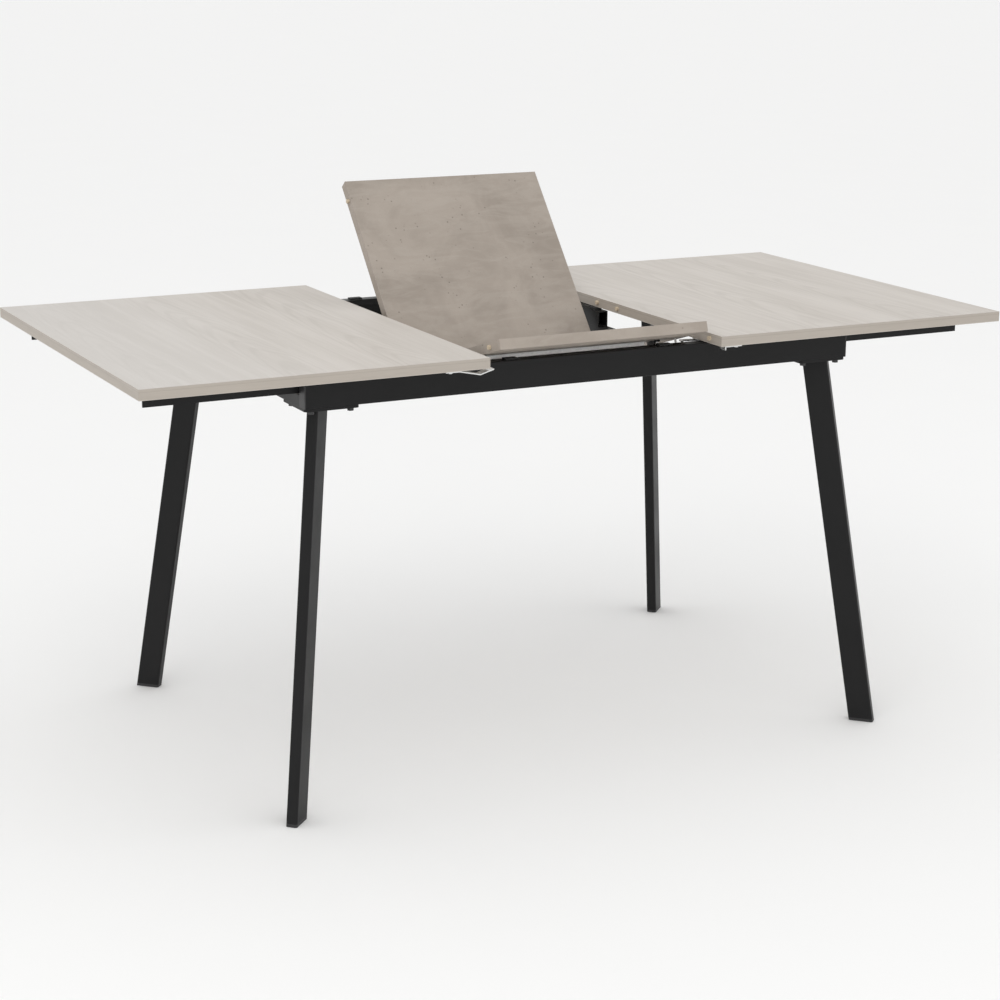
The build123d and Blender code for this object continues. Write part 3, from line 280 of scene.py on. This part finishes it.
# ---- effects shared by the finishes ------------------------------------------------------------
def wood_grain_group():
    """Grain: streaks run along one axis, arches are nested parabolas, pores are short strokes."""
    group, source, result = new_group(
        "wood_grain",
        [("Vector", "NodeSocketVector", None), ("Streak Width", "NodeSocketFloat", 0.012),
         ("Plank Width", "NodeSocketFloat", 0.2)],
        [("Streak", "NodeSocketFloat"), ("Arch", "NodeSocketFloat"), ("Pore", "NodeSocketFloat"),
         ("Cloud", "NodeSocketFloat")])
    vector = source.outputs["Vector"]
    per_metre = maths(group, "DIVIDE", 1.0, source.outputs["Streak Width"])
    fine = noise(group, stretched(group, vector, 1.0, 0.045, 1.0), per_metre, 6.0, 0.62, 0.25)
    broad = noise(group, stretched(group, vector, 0.22, 0.02, 0.22), per_metre, 3.0, 0.5, 0.4)
    streak = maths(group, "MULTIPLY_ADD", fine, 0.6, maths(group, "MULTIPLY", broad, 0.4))
    group.links.new(spread(group, streak, 0.36, 0.64), result.inputs["Streak"])
    parts = add(group, "ShaderNodeSeparateXYZ", {0: vector})
    wander = noise(group, stretched(group, vector, 3.0, 0.9, 3.0), 2.0, 3.0, 0.5)
    drift = maths(group, "MULTIPLY_ADD", wander, 0.5, maths(group, "DIVIDE", parts.outputs[0],
                                                            source.outputs["Plank Width"]))
    across = maths(group, "SUBTRACT", maths(group, "FRACT", drift), 0.5)
    arch = maths(group, "MULTIPLY_ADD", maths(group, "MULTIPLY", across, across), 9.0,
                 maths(group, "MULTIPLY", parts.outputs[1], 1.5))
    arch = maths(group, "ADD", arch, maths(group, "MULTIPLY", wander, 1.1))
    ring = maths(group, "SINE", maths(group, "MULTIPLY", arch, 34.0))
    inside = spread(group, maths(group, "ABSOLUTE", across), 0.18, 0.36, 1.0, 0.0)
    sharp = spread(group, ring, 0.1, 0.95)
    group.links.new(maths(group, "MULTIPLY", sharp, inside), result.inputs["Arch"])
    stroke = noise(group, stretched(group, vector, 1.0, 0.05, 1.0), 1400.0, 2.0, 0.6)
    group.links.new(spread(group, stroke, 0.62, 0.72), result.inputs["Pore"])
    cloud = noise(group, stretched(group, vector, 1.0, 0.5, 1.0), 2.6, 3.0, 0.5)
    group.links.new(spread(group, cloud, 0.3, 0.7), result.inputs["Cloud"])
    return group


def concrete_group():
    """Concrete: clouds, trowel sweeps, round pits and fine sand."""
    group, source, result = new_group(
        "concrete_cloud",
        [("Vector", "NodeSocketVector", None), ("Cloud Size", "NodeSocketFloat", 0.12)],
        [("Cloud", "NodeSocketFloat"), ("Sweep", "NodeSocketFloat"), ("Pit", "NodeSocketFloat"),
         ("Sand", "NodeSocketFloat")])
    vector = source.outputs["Vector"]
    per_metre = maths(group, "DIVIDE", 1.0, source.outputs["Cloud Size"])
    large = noise(group, vector, per_metre, 5.0, 0.58, 0.6)
    group.links.new(spread(group, large, 0.32, 0.68), result.inputs["Cloud"])
    sweep = noise(group, stretched(group, vector, 0.7, 2.2, 2.2), maths(group, "MULTIPLY", per_metre, 1.8),
                  4.0, 0.6, 1.2)
    group.links.new(spread(group, sweep, 0.4, 0.66), result.inputs["Sweep"])
    cells = add(group, "ShaderNodeTexVoronoi", {"Vector": vector, "Scale": 95.0, "Randomness": 1.0})
    few = noise(group, vector, 26.0, 2.0, 0.5)
    hollow = spread(group, cells.outputs["Distance"], 0.06, 0.22, 1.0, 0.0)
    group.links.new(maths(group, "MULTIPLY", hollow, spread(group, few, 0.52, 0.62)), result.inputs["Pit"])
    group.links.new(noise(group, vector, 900.0, 3.0, 0.6), result.inputs["Sand"])
    return group


def fine_texture_group():
    """Fine texture: two noises of one size and three times that, and a slow change of tone."""
    group, source, result = new_group(
        "fine_texture",
        [("Vector", "NodeSocketVector", None), ("Size", "NodeSocketFloat", 0.0009)],
        [("Height", "NodeSocketFloat"), ("Tone", "NodeSocketFloat")])
    vector = source.outputs["Vector"]
    per_metre = maths(group, "DIVIDE", 1.0, source.outputs["Size"])
    small = noise(group, vector, per_metre, 3.0, 0.6)
    large = noise(group, vector, maths(group, "DIVIDE", per_metre, 3.0), 2.0, 0.5)
    group.links.new(maths(group, "MULTIPLY_ADD", small, 0.6, maths(group, "MULTIPLY", large, 0.4)),
                    result.inputs["Height"])
    tone = noise(group, vector, 9.0, 4.0, 0.6)
    group.links.new(spread(group, tone, 0.3, 0.7), result.inputs["Tone"])
    return group


def arris_group():
    """Arris: how far the surface turns within a small radius, broken up by noise, and the rounded normal."""
    group, source, result = new_group(
        "arris_wear",
        [("Vector", "NodeSocketVector", None), ("Radius", "NodeSocketFloat", 0.0008),
         ("Patchiness", "NodeSocketFloat", 0.5)],
        [("Wear", "NodeSocketFloat"), ("Edge", "NodeSocketFloat"), ("Normal", "NodeSocketVector")])
    rounded = add(group, "ShaderNodeBevel", {"Radius": source.outputs["Radius"]}, samples=4)
    flat = add(group, "ShaderNodeNewGeometry")
    same = add(group, "ShaderNodeVectorMath", {0: rounded.outputs[0], 1: flat.outputs["Normal"]},
               operation="DOT_PRODUCT")
    edge = spread(group, same.outputs["Value"], 0.80, 0.995, 1.0, 0.0)
    patches = noise(group, source.outputs["Vector"], 60.0, 4.0, 0.65)
    bare = maths(group, "SUBTRACT", 1.0, source.outputs["Patchiness"])
    kept = spread(group, patches, 0.35, 0.65, bare, 1.0)
    group.links.new(maths(group, "MULTIPLY", edge, kept), result.inputs["Wear"])
    group.links.new(edge, result.inputs["Edge"])
    group.links.new(rounded.outputs[0], result.inputs["Normal"])
    return group


def dust_group():
    """Dust: a thin patchy veil on faces that look up."""
    group, source, result = new_group(
        "resting_dust",
        [("Vector", "NodeSocketVector", None), ("Amount", "NodeSocketFloat", 0.3)],
        [("Dust", "NodeSocketFloat")])
    turned = add(group, "ShaderNodeSeparateXYZ", {0: add(group, "ShaderNodeNewGeometry").outputs["Normal"]})
    up = spread(group, turned.outputs[2], 0.5, 1.0)
    patches = spread(group, noise(group, source.outputs["Vector"], 14.0, 6.0, 0.7), 0.35, 0.75)
    group.links.new(maths(group, "MULTIPLY", maths(group, "MULTIPLY", up, patches), source.outputs["Amount"]),
                    result.inputs["Dust"])
    return group


GROUP_MAKERS = {
    "wood_grain": wood_grain_group,
    "concrete_cloud": concrete_group,
    "fine_texture": fine_texture_group,
    "arris_wear": arris_group,
    "resting_dust": dust_group,
}


def effect(name):
    """A shared effect, built once."""
    return bpy.data.node_groups.get(name) or GROUP_MAKERS[name]()


def new_finish(name):
    """A material with its shader and the Object coordinates: material, tree, shader, vector."""
    material = bpy.data.materials.new(name)
    material.use_nodes = True
    tree = material.node_tree
    shader = tree.nodes["Principled BSDF"]
    vector = tree.nodes.new("ShaderNodeTexCoord").outputs["Object"]
    return material, tree, shader, vector


def relief(tree, height, distance, strength, normal=None):
    """The normal of a Bump node over an optional rounded normal."""
    inputs = {"Height": height, "Distance": distance, "Strength": strength}
    if normal is not None:
        inputs["Normal"] = normal
    return add(tree, "ShaderNodeBump", inputs).outputs[0]


# ---- finishes ----------------------------------------------------------------------------------
def washed_wood(settings):
    """Matt washed wood decor: pale ground, streaks along Y, arched figure, pores, cooler to the far left."""
    material, tree, shader, vector = new_finish("washed_wood_decor")
    grain = placed(tree, effect("wood_grain"), {"Vector": vector, "Streak Width": settings.streak_width,
                                                "Plank Width": settings.figure_width})
    edge = placed(tree, effect("arris_wear"), {"Vector": vector, "Radius": 0.0006})
    ground = blend_colours(tree, maths(tree, "MULTIPLY", grain.outputs["Streak"], 0.22),
                           tuple(settings.light), tuple(settings.dark))
    figured = blend_colours(tree, maths(tree, "MULTIPLY", grain.outputs["Arch"], 0.16), ground,
                            tuple(settings.dark))
    clouded = blend_colours(tree, maths(tree, "MULTIPLY", grain.outputs["Cloud"], 0.12), figured,
                            WASHED_CLOUD)
    along = add(tree, "ShaderNodeSeparateXYZ", {0: vector}).outputs[0]
    cool = spread(tree, along, COOL_FROM, COOL_TO, 0.55, 0.0)
    cooled = blend_colours(tree, cool, clouded, COOL_WOOD)
    pored = blend_colours(tree, maths(tree, "MULTIPLY", grain.outputs["Pore"], 0.18), cooled, WOOD_PORE)
    colour = blend_colours(tree, maths(tree, "MULTIPLY", edge.outputs["Wear"], 0.35), pored, WORN_WOOD)
    feed(tree, shader.inputs["Base Color"], colour)
    roughness = maths(tree, "MULTIPLY_ADD", grain.outputs["Streak"], 0.10, 0.50)
    feed(tree, shader.inputs["Roughness"], roughness)
    shader.inputs["Specular IOR Level"].default_value = 0.35
    depth = maths(tree, "MULTIPLY_ADD", grain.outputs["Streak"], 0.4, maths(tree, "MULTIPLY",
                                                                          grain.outputs["Pore"], -0.6))
    feed(tree, shader.inputs["Normal"], relief(tree, depth, 0.00012, 0.35, edge.outputs["Normal"]))
    return material


def washed_wood_edge(settings):
    """Edge band in the wood decor: streaks along it, a thin darker line near its top, a painted highlight on
    the lower arris.
    """
    material, tree, shader, vector = new_finish("washed_wood_edge")
    along_band = stretched(tree, vector, 0.05, 0.05, 1.0)
    turned = add(tree, "ShaderNodeSeparateXYZ", {0: vector})
    fine = noise(tree, along_band, 700.0, 5.0, 0.6)
    broad = noise(tree, along_band, 160.0, 3.0, 0.5)
    both = maths(tree, "MULTIPLY_ADD", fine, 0.5, maths(tree, "MULTIPLY", broad, 0.5))
    streak = spread(tree, both, 0.36, 0.64)
    ground = blend_colours(tree, maths(tree, "MULTIPLY", streak, 0.30), tuple(settings.edge),
                           tuple(settings.dark))
    height = turned.outputs[2]
    line = maths(tree, "ABSOLUTE", maths(tree, "SUBTRACT", height, BAND_LINE_HEIGHT))
    lined = blend_colours(tree, spread(tree, line, 0.0002, 0.0007, 0.35, 0.0), ground, BAND_LINE_TONE)
    # painted highlight: the band's lower arris is lightened in colour, standing in for the light it catches
    low = spread(tree, height, BAND_HIGHLIGHT_FROM, BAND_HIGHLIGHT_TO, 0.55, 0.0)
    arris_highlighted = blend_colours(tree, low, lined, BAND_LOW_ARRIS_HIGHLIGHT)
    face = add(tree, "ShaderNodeSeparateXYZ", {0: add(tree, "ShaderNodeNewGeometry").outputs["Normal"]})
    upper = blend_colours(tree, spread(tree, face.outputs[2], 0.6, 0.95), arris_highlighted, tuple(settings.light))
    edge = placed(tree, effect("arris_wear"), {"Vector": vector, "Radius": 0.0008})
    colour = blend_colours(tree, maths(tree, "MULTIPLY", edge.outputs["Wear"], 0.30), upper, WORN_BAND)
    feed(tree, shader.inputs["Base Color"], colour)
    feed(tree, shader.inputs["Roughness"], maths(tree, "MULTIPLY_ADD", streak, 0.10, 0.46))
    feed(tree, shader.inputs["Normal"], relief(tree, streak, 0.00008, 0.3, edge.outputs["Normal"]))
    return material


def concrete(settings, name, strength):
    """Matt concrete decor: clouds, sweeps, pits and sand; strength is how far the clouds part in tone."""
    material, tree, shader, vector = new_finish(name)
    cast = placed(tree, effect("concrete_cloud"), {"Vector": vector, "Cloud Size": settings.cloud_size})
    edge = placed(tree, effect("arris_wear"), {"Vector": vector, "Radius": 0.0007})
    ground = blend_colours(tree, maths(tree, "MULTIPLY", cast.outputs["Cloud"], strength),
                           tuple(settings.light), tuple(settings.dark))
    swept = blend_colours(tree, maths(tree, "MULTIPLY", cast.outputs["Sweep"], 0.38), ground, TROWEL_TONE)
    sand = spread(tree, cast.outputs["Sand"], 0.35, 0.65)
    sandy = blend_colours(tree, maths(tree, "MULTIPLY", sand, 0.14), swept, SAND_TONE)
    pitted = blend_colours(tree, maths(tree, "MULTIPLY", cast.outputs["Pit"], 0.75), sandy, PIT_TONE)
    colour = blend_colours(tree, maths(tree, "MULTIPLY", edge.outputs["Wear"], 0.35), pitted, WORN_CONCRETE)
    feed(tree, shader.inputs["Base Color"], colour)
    feed(tree, shader.inputs["Roughness"], maths(tree, "MULTIPLY_ADD", cast.outputs["Cloud"], 0.14, 0.50))
    shader.inputs["Specular IOR Level"].default_value = 0.35
    depth = maths(tree, "MULTIPLY_ADD", cast.outputs["Pit"], -1.0, maths(tree, "MULTIPLY", sand, 0.15))
    feed(tree, shader.inputs["Normal"], relief(tree, depth, 0.00025, 0.4, edge.outputs["Normal"]))
    return material


def powder_coat(settings):
    """Matt black powder coat: fine orange-peel texture, rubbed edges and a little dust."""
    material, tree, shader, vector = new_finish("black_powder_coat")
    fine = placed(tree, effect("fine_texture"), {"Vector": vector, "Size": settings.texture_size})
    edge = placed(tree, effect("arris_wear"), {"Vector": vector, "Radius": 0.0009, "Patchiness": 0.45})
    dust = placed(tree, effect("resting_dust"), {"Vector": vector, "Amount": 0.10})
    ground = blend_colours(tree, maths(tree, "MULTIPLY", fine.outputs["Tone"], 0.5), tuple(settings.coat),
                           tuple(channel * 1.5 for channel in settings.coat))
    worn = blend_colours(tree, maths(tree, "MULTIPLY", edge.outputs["Wear"], 0.6), ground,
                         tuple(settings.worn))
    dusty = blend_colours(tree, dust.outputs["Dust"], worn, DUST_TONE)
    feed(tree, shader.inputs["Base Color"], dusty)
    feed(tree, shader.inputs["Roughness"], maths(tree, "MULTIPLY_ADD", fine.outputs["Tone"], 0.10, 0.36))
    shader.inputs["Specular IOR Level"].default_value = 0.22
    normal = relief(tree, fine.outputs["Height"], 0.00006, 0.3, edge.outputs["Normal"])
    feed(tree, shader.inputs["Normal"], normal)
    return material


def moulded(name, colour, size, roughness, depth):
    """Plastic, nylon, rubber or black steel: fine texture, changing tone, softened and lighter edges."""
    material, tree, shader, vector = new_finish(name)
    fine = placed(tree, effect("fine_texture"), {"Vector": vector, "Size": size})
    edge = placed(tree, effect("arris_wear"), {"Vector": vector, "Radius": 0.0005, "Patchiness": 0.3})
    pale = tuple(min(1.0, channel * 1.35 + 0.01) for channel in colour)
    deep = tuple(channel * 0.8 for channel in colour)
    ground = blend_colours(tree, fine.outputs["Tone"], tuple(colour), deep)
    feed(tree, shader.inputs["Base Color"],
         blend_colours(tree, maths(tree, "MULTIPLY", edge.outputs["Wear"], 0.6), ground, pale))
    feed(tree, shader.inputs["Roughness"], maths(tree, "MULTIPLY_ADD", fine.outputs["Tone"], 0.12, roughness))
    normal = relief(tree, fine.outputs["Height"], depth, 0.3, edge.outputs["Normal"])
    feed(tree, shader.inputs["Normal"], normal)
    return material


def bright_zinc(settings):
    """Bright zinc plate: faint spangle, drawing lines, bright rounded edges."""
    material, tree, shader, vector = new_finish("bright_zinc")
    cells = add(tree, "ShaderNodeTexVoronoi", {"Vector": vector, "Scale": 240.0, "Randomness": 1.0})
    spangle = add(tree, "ShaderNodeSeparateColor", {0: cells.outputs["Color"]}).outputs[0]
    lines = noise(tree, stretched(tree, vector, 0.03, 1.0, 1.0), 1500.0, 3.0, 0.6)
    edge = placed(tree, effect("arris_wear"), {"Vector": vector, "Radius": 0.0004, "Patchiness": 0.2})
    dull = tuple(channel * 0.82 for channel in settings.zinc)
    ground = blend_colours(tree, maths(tree, "MULTIPLY", spangle, 0.5), tuple(settings.zinc), dull)
    feed(tree, shader.inputs["Base Color"],
         blend_colours(tree, maths(tree, "MULTIPLY", edge.outputs["Wear"], 0.5), ground, WORN_ZINC))
    shader.inputs["Metallic"].default_value = 0.85
    feed(tree, shader.inputs["Roughness"], maths(tree, "MULTIPLY_ADD", spangle, 0.14, 0.28))
    feed(tree, shader.inputs["Normal"], relief(tree, lines, 0.00004, 0.25, edge.outputs["Normal"]))
    return material


def beech_wood(settings):
    """Plain beech: fine grain along X and short dark flecks."""
    material, tree, shader, vector = new_finish("beech_dowel")
    grain = noise(tree, stretched(tree, vector, 0.04, 1.0, 1.0), 1600.0, 5.0, 0.6)
    flecks = spread(tree, noise(tree, stretched(tree, vector, 0.15, 1.0, 1.0), 2600.0, 2.0, 0.5), 0.6, 0.7)
    edge = placed(tree, effect("arris_wear"), {"Vector": vector, "Radius": 0.0006, "Patchiness": 0.3})
    dark = tuple(channel * 0.68 for channel in settings.beech)
    ground = blend_colours(tree, spread(tree, grain, 0.35, 0.65), tuple(settings.beech), dark)
    flecked = blend_colours(tree, maths(tree, "MULTIPLY", flecks, 0.5), ground, BEECH_FLECK)
    feed(tree, shader.inputs["Base Color"],
         blend_colours(tree, maths(tree, "MULTIPLY", edge.outputs["Wear"], 0.4), flecked, WORN_BEECH))
    feed(tree, shader.inputs["Roughness"], maths(tree, "MULTIPLY_ADD", grain, 0.15, 0.50))
    feed(tree, shader.inputs["Normal"], relief(tree, grain, 0.00008, 0.4, edge.outputs["Normal"]))
    return material


def finish_nodes(names, material):
    """Gives CAD nodes a material in place of the one they came with."""
    for name in names:
        node = frame["nodes"][name]
        for entry in node.material_slots:
            entry.material = material


def nodes_in_slot(slot):
    """Names of the CAD nodes whose finish is one of the record's material slots."""
    return [part["node"] for part in frame["record"]["subparts"] if part["material_slot"] == slot]


# ---- weld beads --------------------------------------------------------------------------------
def rounded_outline(depth, width, corner, steps):
    """Points round a rounded rectangle: each corner a quarter circle, and each side divided evenly."""
    quarter = np.linspace(0.0, math.pi / 2, steps)
    centres = ((1, 1, 0.0), (-1, 1, math.pi / 2), (-1, -1, math.pi), (1, -1, 1.5 * math.pi))
    arcs = []
    for side, depth_side, turn in centres:
        x = side * (depth / 2 - corner) + corner * np.cos(quarter + turn)
        y = depth_side * (width / 2 - corner) + corner * np.sin(quarter + turn)
        arcs.append(np.column_stack([x, y]))
    points = np.vstack(arcs + [arcs[0][:1]])
    run = np.concatenate([[0.0], np.cumsum(np.linalg.norm(np.diff(points, axis=0), axis=1))])
    return points, run


def bead_surface(centre, turn, sizes):
    """A bead round the leg: a circle of radius r(s) carried along the leg's outline.

    r(s) = bead * (1 + swell * sin(2 pi s / ripple)), so the bead swells at each ripple.
    """
    points, run = rounded_outline(sizes.leg_depth * LEG_LEAN, sizes.leg_width, sizes.corner, CORNER_STEPS)
    s = np.linspace(0.0, run[-1], BEAD_STEPS, endpoint=False)
    x = np.interp(s, run, points[:, 0])
    y = np.interp(s, run, points[:, 1])
    tangent = np.column_stack([np.roll(x, -1) - np.roll(x, 1), np.roll(y, -1) - np.roll(y, 1)])
    tangent /= np.linalg.norm(tangent, axis=1)[:, None]
    outward = np.column_stack([tangent[:, 1], -tangent[:, 0]])
    radius = sizes.bead * (1 + RIPPLE_SWELL * np.sin(2 * math.pi * s / sizes.ripple))
    angle = np.linspace(0.0, 2 * math.pi, BEAD_SIDES, endpoint=False)
    reach = radius[:, None] * np.cos(angle)[None, :]
    rise = radius[:, None] * np.sin(angle)[None, :]
    grid_x = x[:, None] + outward[:, 0:1] * reach
    grid_y = y[:, None] + outward[:, 1:2] * reach
    cos_turn, sin_turn = math.cos(turn), math.sin(turn)
    return np.stack([centre[0] + cos_turn * grid_x - sin_turn * grid_y,
                     centre[1] + sin_turn * grid_x + cos_turn * grid_y,
                     centre[2] + rise], axis=-1)


def closed_grid_mesh(name, grid):
    """A mesh from a grid of points that closes on itself both ways."""
    rows, columns = grid.shape[:2]
    index = np.arange(rows * columns).reshape(rows, columns)
    below = np.roll(index, -1, axis=0)
    faces = np.stack([index, below, np.roll(below, -1, axis=1), np.roll(index, -1, axis=1)], axis=-1)
    mesh = bpy.data.meshes.new(name)
    mesh.from_pydata(grid.reshape(-1, 3).tolist(), [], faces.reshape(-1, 4).tolist())
    mesh.polygons.foreach_set("use_smooth", np.ones(rows * columns, dtype=bool))
    mesh.update()
    return mesh


def outward(mesh):
    """Turns the faces outwards if the closed mesh encloses a negative volume."""
    corners = np.empty(len(mesh.vertices) * 3)
    mesh.vertices.foreach_get("co", corners)
    corners = corners.reshape(-1, 3)
    quads = np.array([tuple(face.vertices) for face in mesh.polygons])
    middle = corners.mean(axis=0)
    a, b, c, d = (corners[quads[:, k]] - middle for k in range(4))
    volume = (np.einsum("ij,ij->i", a, np.cross(b, c)) + np.einsum("ij,ij->i", a, np.cross(c, d))).sum()
    if volume < 0:
        mesh.flip_normals()


# ---- operators ---------------------------------------------------------------------------------
class TABLE_OT_top_halves(bpy.types.Operator):
    """Washed wood decor on the two top halves and their edge bands"""

    bl_idname = "table.top_halves"
    bl_label = "Finish top halves"

    def execute(self, context):
        settings = context.scene.top_finish
        finish_nodes(WOOD_BOARDS, washed_wood(settings))
        finish_nodes(WOOD_BANDS, washed_wood_edge(settings))
        return {"FINISHED"}


class TABLE_OT_leaf(bpy.types.Operator):
    """Concrete decor on the folding leaf and its edge bands"""

    bl_idname = "table.leaf"
    bl_label = "Finish leaf"

    def execute(self, context):
        settings = context.scene.leaf_finish
        finish_nodes(LEAF_BOARDS, concrete(settings, "concrete_decor", 0.75))
        finish_nodes(LEAF_BANDS, concrete(settings, "concrete_edge", 0.45))
        return {"FINISHED"}


class TABLE_OT_frame(bpy.types.Operator):
    """Powder coat on the frame, legs, guide plates and runners"""

    bl_idname = "table.frame"
    bl_label = "Finish frame"

    def execute(self, context):
        finish_nodes(nodes_in_slot("black_powder_coat"), powder_coat(context.scene.frame_finish))
        return {"FINISHED"}


class TABLE_OT_fittings(bpy.types.Operator):
    """Zinc, nylon, plastic, rubber, black steel and beech on the small pieces"""

    bl_idname = "table.fittings"
    bl_label = "Finish fittings"

    def execute(self, context):
        settings = context.scene.fitting_finish
        finish_nodes(nodes_in_slot("bright_zinc"), bright_zinc(settings))
        finish_nodes(nodes_in_slot("zinc_dowel"), beech_wood(settings))
        finish_nodes(nodes_in_slot("nylon"), moulded("nylon", tuple(settings.nylon), 0.0012, 0.38, 0.00006))
        finish_nodes(nodes_in_slot("black_plastic"),
                     moulded("black_plastic", tuple(settings.plastic), 0.0007, 0.42, 0.00008))
        finish_nodes(nodes_in_slot("rubber_pad"), moulded("rubber_pad", RUBBER, 0.0010, 0.70, 0.00012))
        finish_nodes(nodes_in_slot("black_steel"), moulded("black_steel", BLACK_STEEL, 0.0015, 0.30, 0.00004))
        return {"FINISHED"}


class TABLE_OT_weld_beads(bpy.types.Operator):
    """Weld bead round the top of each leg, under its plate"""

    bl_idname = "table.weld_beads"
    bl_label = "Add weld beads"

    def execute(self, context):
        sizes = context.scene.weld_sizes
        coat = bpy.data.materials.get("black_powder_coat")
        if coat is None:
            raise RuntimeError("finish the frame before adding its weld beads")
        half = (sizes.leg_depth * LEG_LEAN + sizes.leg_width) / 2 * math.cos(math.pi / 4)
        half -= sizes.corner * (math.sqrt(2) - 1)
        for corner in CORNERS:
            low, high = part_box(f"{corner}_leg")
            side = 1 if "right" in corner else -1
            depth = 1 if "rear" in corner else -1
            x = low[0] + half if side > 0 else high[0] - half
            y = low[1] + half if depth > 0 else high[1] - half
            centre = (x, y, high[2] - sizes.bead * BEAD_SUNK)
            grid = bead_surface(centre, side * depth * math.pi / 4, sizes)
            mesh = closed_grid_mesh(f"{corner}_weld_bead", grid)
            outward(mesh)
            bead = bpy.data.objects.new(f"{corner}_weld_bead", mesh)
            context.collection.objects.link(bead)
            mesh.materials.append(coat)
            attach(bead, "frame")
        return {"FINISHED"}


def area_lamp(name, place_at, look_at, size, power, colour):
    """A square soft lamp that looks at a point."""
    data = bpy.data.lights.new(name, "AREA")
    data.size = size
    data.energy = power
    data.color = colour
    lamp = bpy.data.objects.new(name, data)
    lamp.location = place_at
    lamp.rotation_euler = (Vector(look_at) - Vector(place_at)).to_track_quat("-Z", "Y").to_euler()
    bpy.context.collection.objects.link(lamp)


class TABLE_OT_studio(bpy.types.Operator):
    """Pale floor, soft lamps, even sky and the camera"""

    bl_idname = "table.studio"
    bl_label = "Build studio"

    def execute(self, context):
        settings = context.scene.studio_settings
        mesh = bpy.data.meshes.new("floor")
        ends = ((-1, -1), (1, -1), (1, 1), (-1, 1))
        points = [(x * FLOOR_REACH, y * FLOOR_REACH, FLOOR_LEVEL) for x, y in ends]
        mesh.from_pydata(points, [], [(0, 1, 2, 3)])
        floor = bpy.data.objects.new("floor", mesh)
        context.collection.objects.link(floor)
        material, tree, shader, vector = new_finish("studio_floor")
        tone = spread(tree, noise(tree, vector, 3.0, 4.0, 0.5), 0.3, 0.7)
        pale = tuple(settings.floor)
        feed(tree, shader.inputs["Base Color"],
             blend_colours(tree, maths(tree, "MULTIPLY", tone, 0.1), pale, tuple(c * 0.97 for c in pale)))
        shader.inputs["Roughness"].default_value = 0.9
        mesh.materials.append(material)
        world = bpy.data.worlds.new("studio_sky")
        world.use_nodes = True
        background = world.node_tree.nodes["Background"]
        background.inputs["Color"].default_value = (1.0, 1.0, 1.0, 1.0)
        background.inputs["Strength"].default_value = settings.sky
        context.scene.world = world
        area_lamp("key_lamp", KEY_PLACE, LAMPS_LOOK_AT, KEY_SIZE, settings.key, KEY_COLOUR)
        area_lamp("fill_lamp", FILL_PLACE, LAMPS_LOOK_AT, FILL_SIZE, settings.fill, FILL_COLOUR)
        context.scene.view_settings.view_transform = "Standard"
        yaw, pitch, roll = (math.radians(angle) for angle in CAMERA_TURNS)
        forward = Vector((math.sin(yaw) * math.cos(pitch), math.cos(yaw) * math.cos(pitch), -math.sin(pitch)))
        right = Vector((math.cos(yaw), -math.sin(yaw), 0.0))
        up = right.cross(forward)
        data = bpy.data.cameras.new("studio_camera")
        data.lens = settings.lens
        data.sensor_width = CAMERA_SENSOR
        camera = bpy.data.objects.new("studio_camera", data)
        rolled = Matrix.Rotation(-roll, 3, forward)
        columns = [rolled @ right, rolled @ up, -forward]
        turned = Matrix(columns).transposed().to_4x4()
        camera.matrix_world = Matrix.Translation(CAMERA_PLACE) @ turned
        context.collection.objects.link(camera)
        context.scene.camera = camera
        return {"FINISHED"}


class TABLE_PT_panel(bpy.types.Panel):
    """Lists the steps that finish the table"""

    bl_idname = "TABLE_PT_panel"
    bl_label = "Extendable dining table"
    bl_space_type = "VIEW_3D"
    bl_region_type = "UI"
    bl_category = "Table"

    def draw(self, context):
        for operator in OPERATORS:
            self.layout.operator(operator.bl_idname)
        for name in SETTINGS:
            group = getattr(context.scene, name)
            box = self.layout.box()
            for entry in group.bl_rna.properties:
                if entry.identifier not in ("name", "rna_type"):
                    box.prop(group, entry.identifier)


OPERATORS = (TABLE_OT_top_halves, TABLE_OT_leaf, TABLE_OT_frame, TABLE_OT_fittings, TABLE_OT_weld_beads,
             TABLE_OT_studio)
SETTINGS = {
    "top_finish": TopFinish,
    "leaf_finish": LeafFinish,
    "frame_finish": FrameFinish,
    "fitting_finish": FittingFinish,
    "weld_sizes": WeldSizes,
    "studio_settings": StudioSettings,
}


def register():
    """Registers the settings, the operators and the panel."""
    for name, group in SETTINGS.items():
        bpy.utils.register_class(group)
        setattr(bpy.types.Scene, name, bpy.props.PointerProperty(type=group))
    for operator in OPERATORS:
        bpy.utils.register_class(operator)
    bpy.utils.register_class(TABLE_PT_panel)


def unregister():
    """Takes away what register added."""
    bpy.utils.unregister_class(TABLE_PT_panel)
    for operator in reversed(OPERATORS):
        bpy.utils.unregister_class(operator)
    for name, group in SETTINGS.items():
        delattr(bpy.types.Scene, name)
        bpy.utils.unregister_class(group)


def main():
    """Builds every step in order."""
    register()
    for step in ("top_halves", "leaf", "frame", "fittings", "weld_beads", "studio"):
        getattr(bpy.ops.table, step)()
    bpy.context.view_layer.update()


if __name__ == "__main__":
    main()
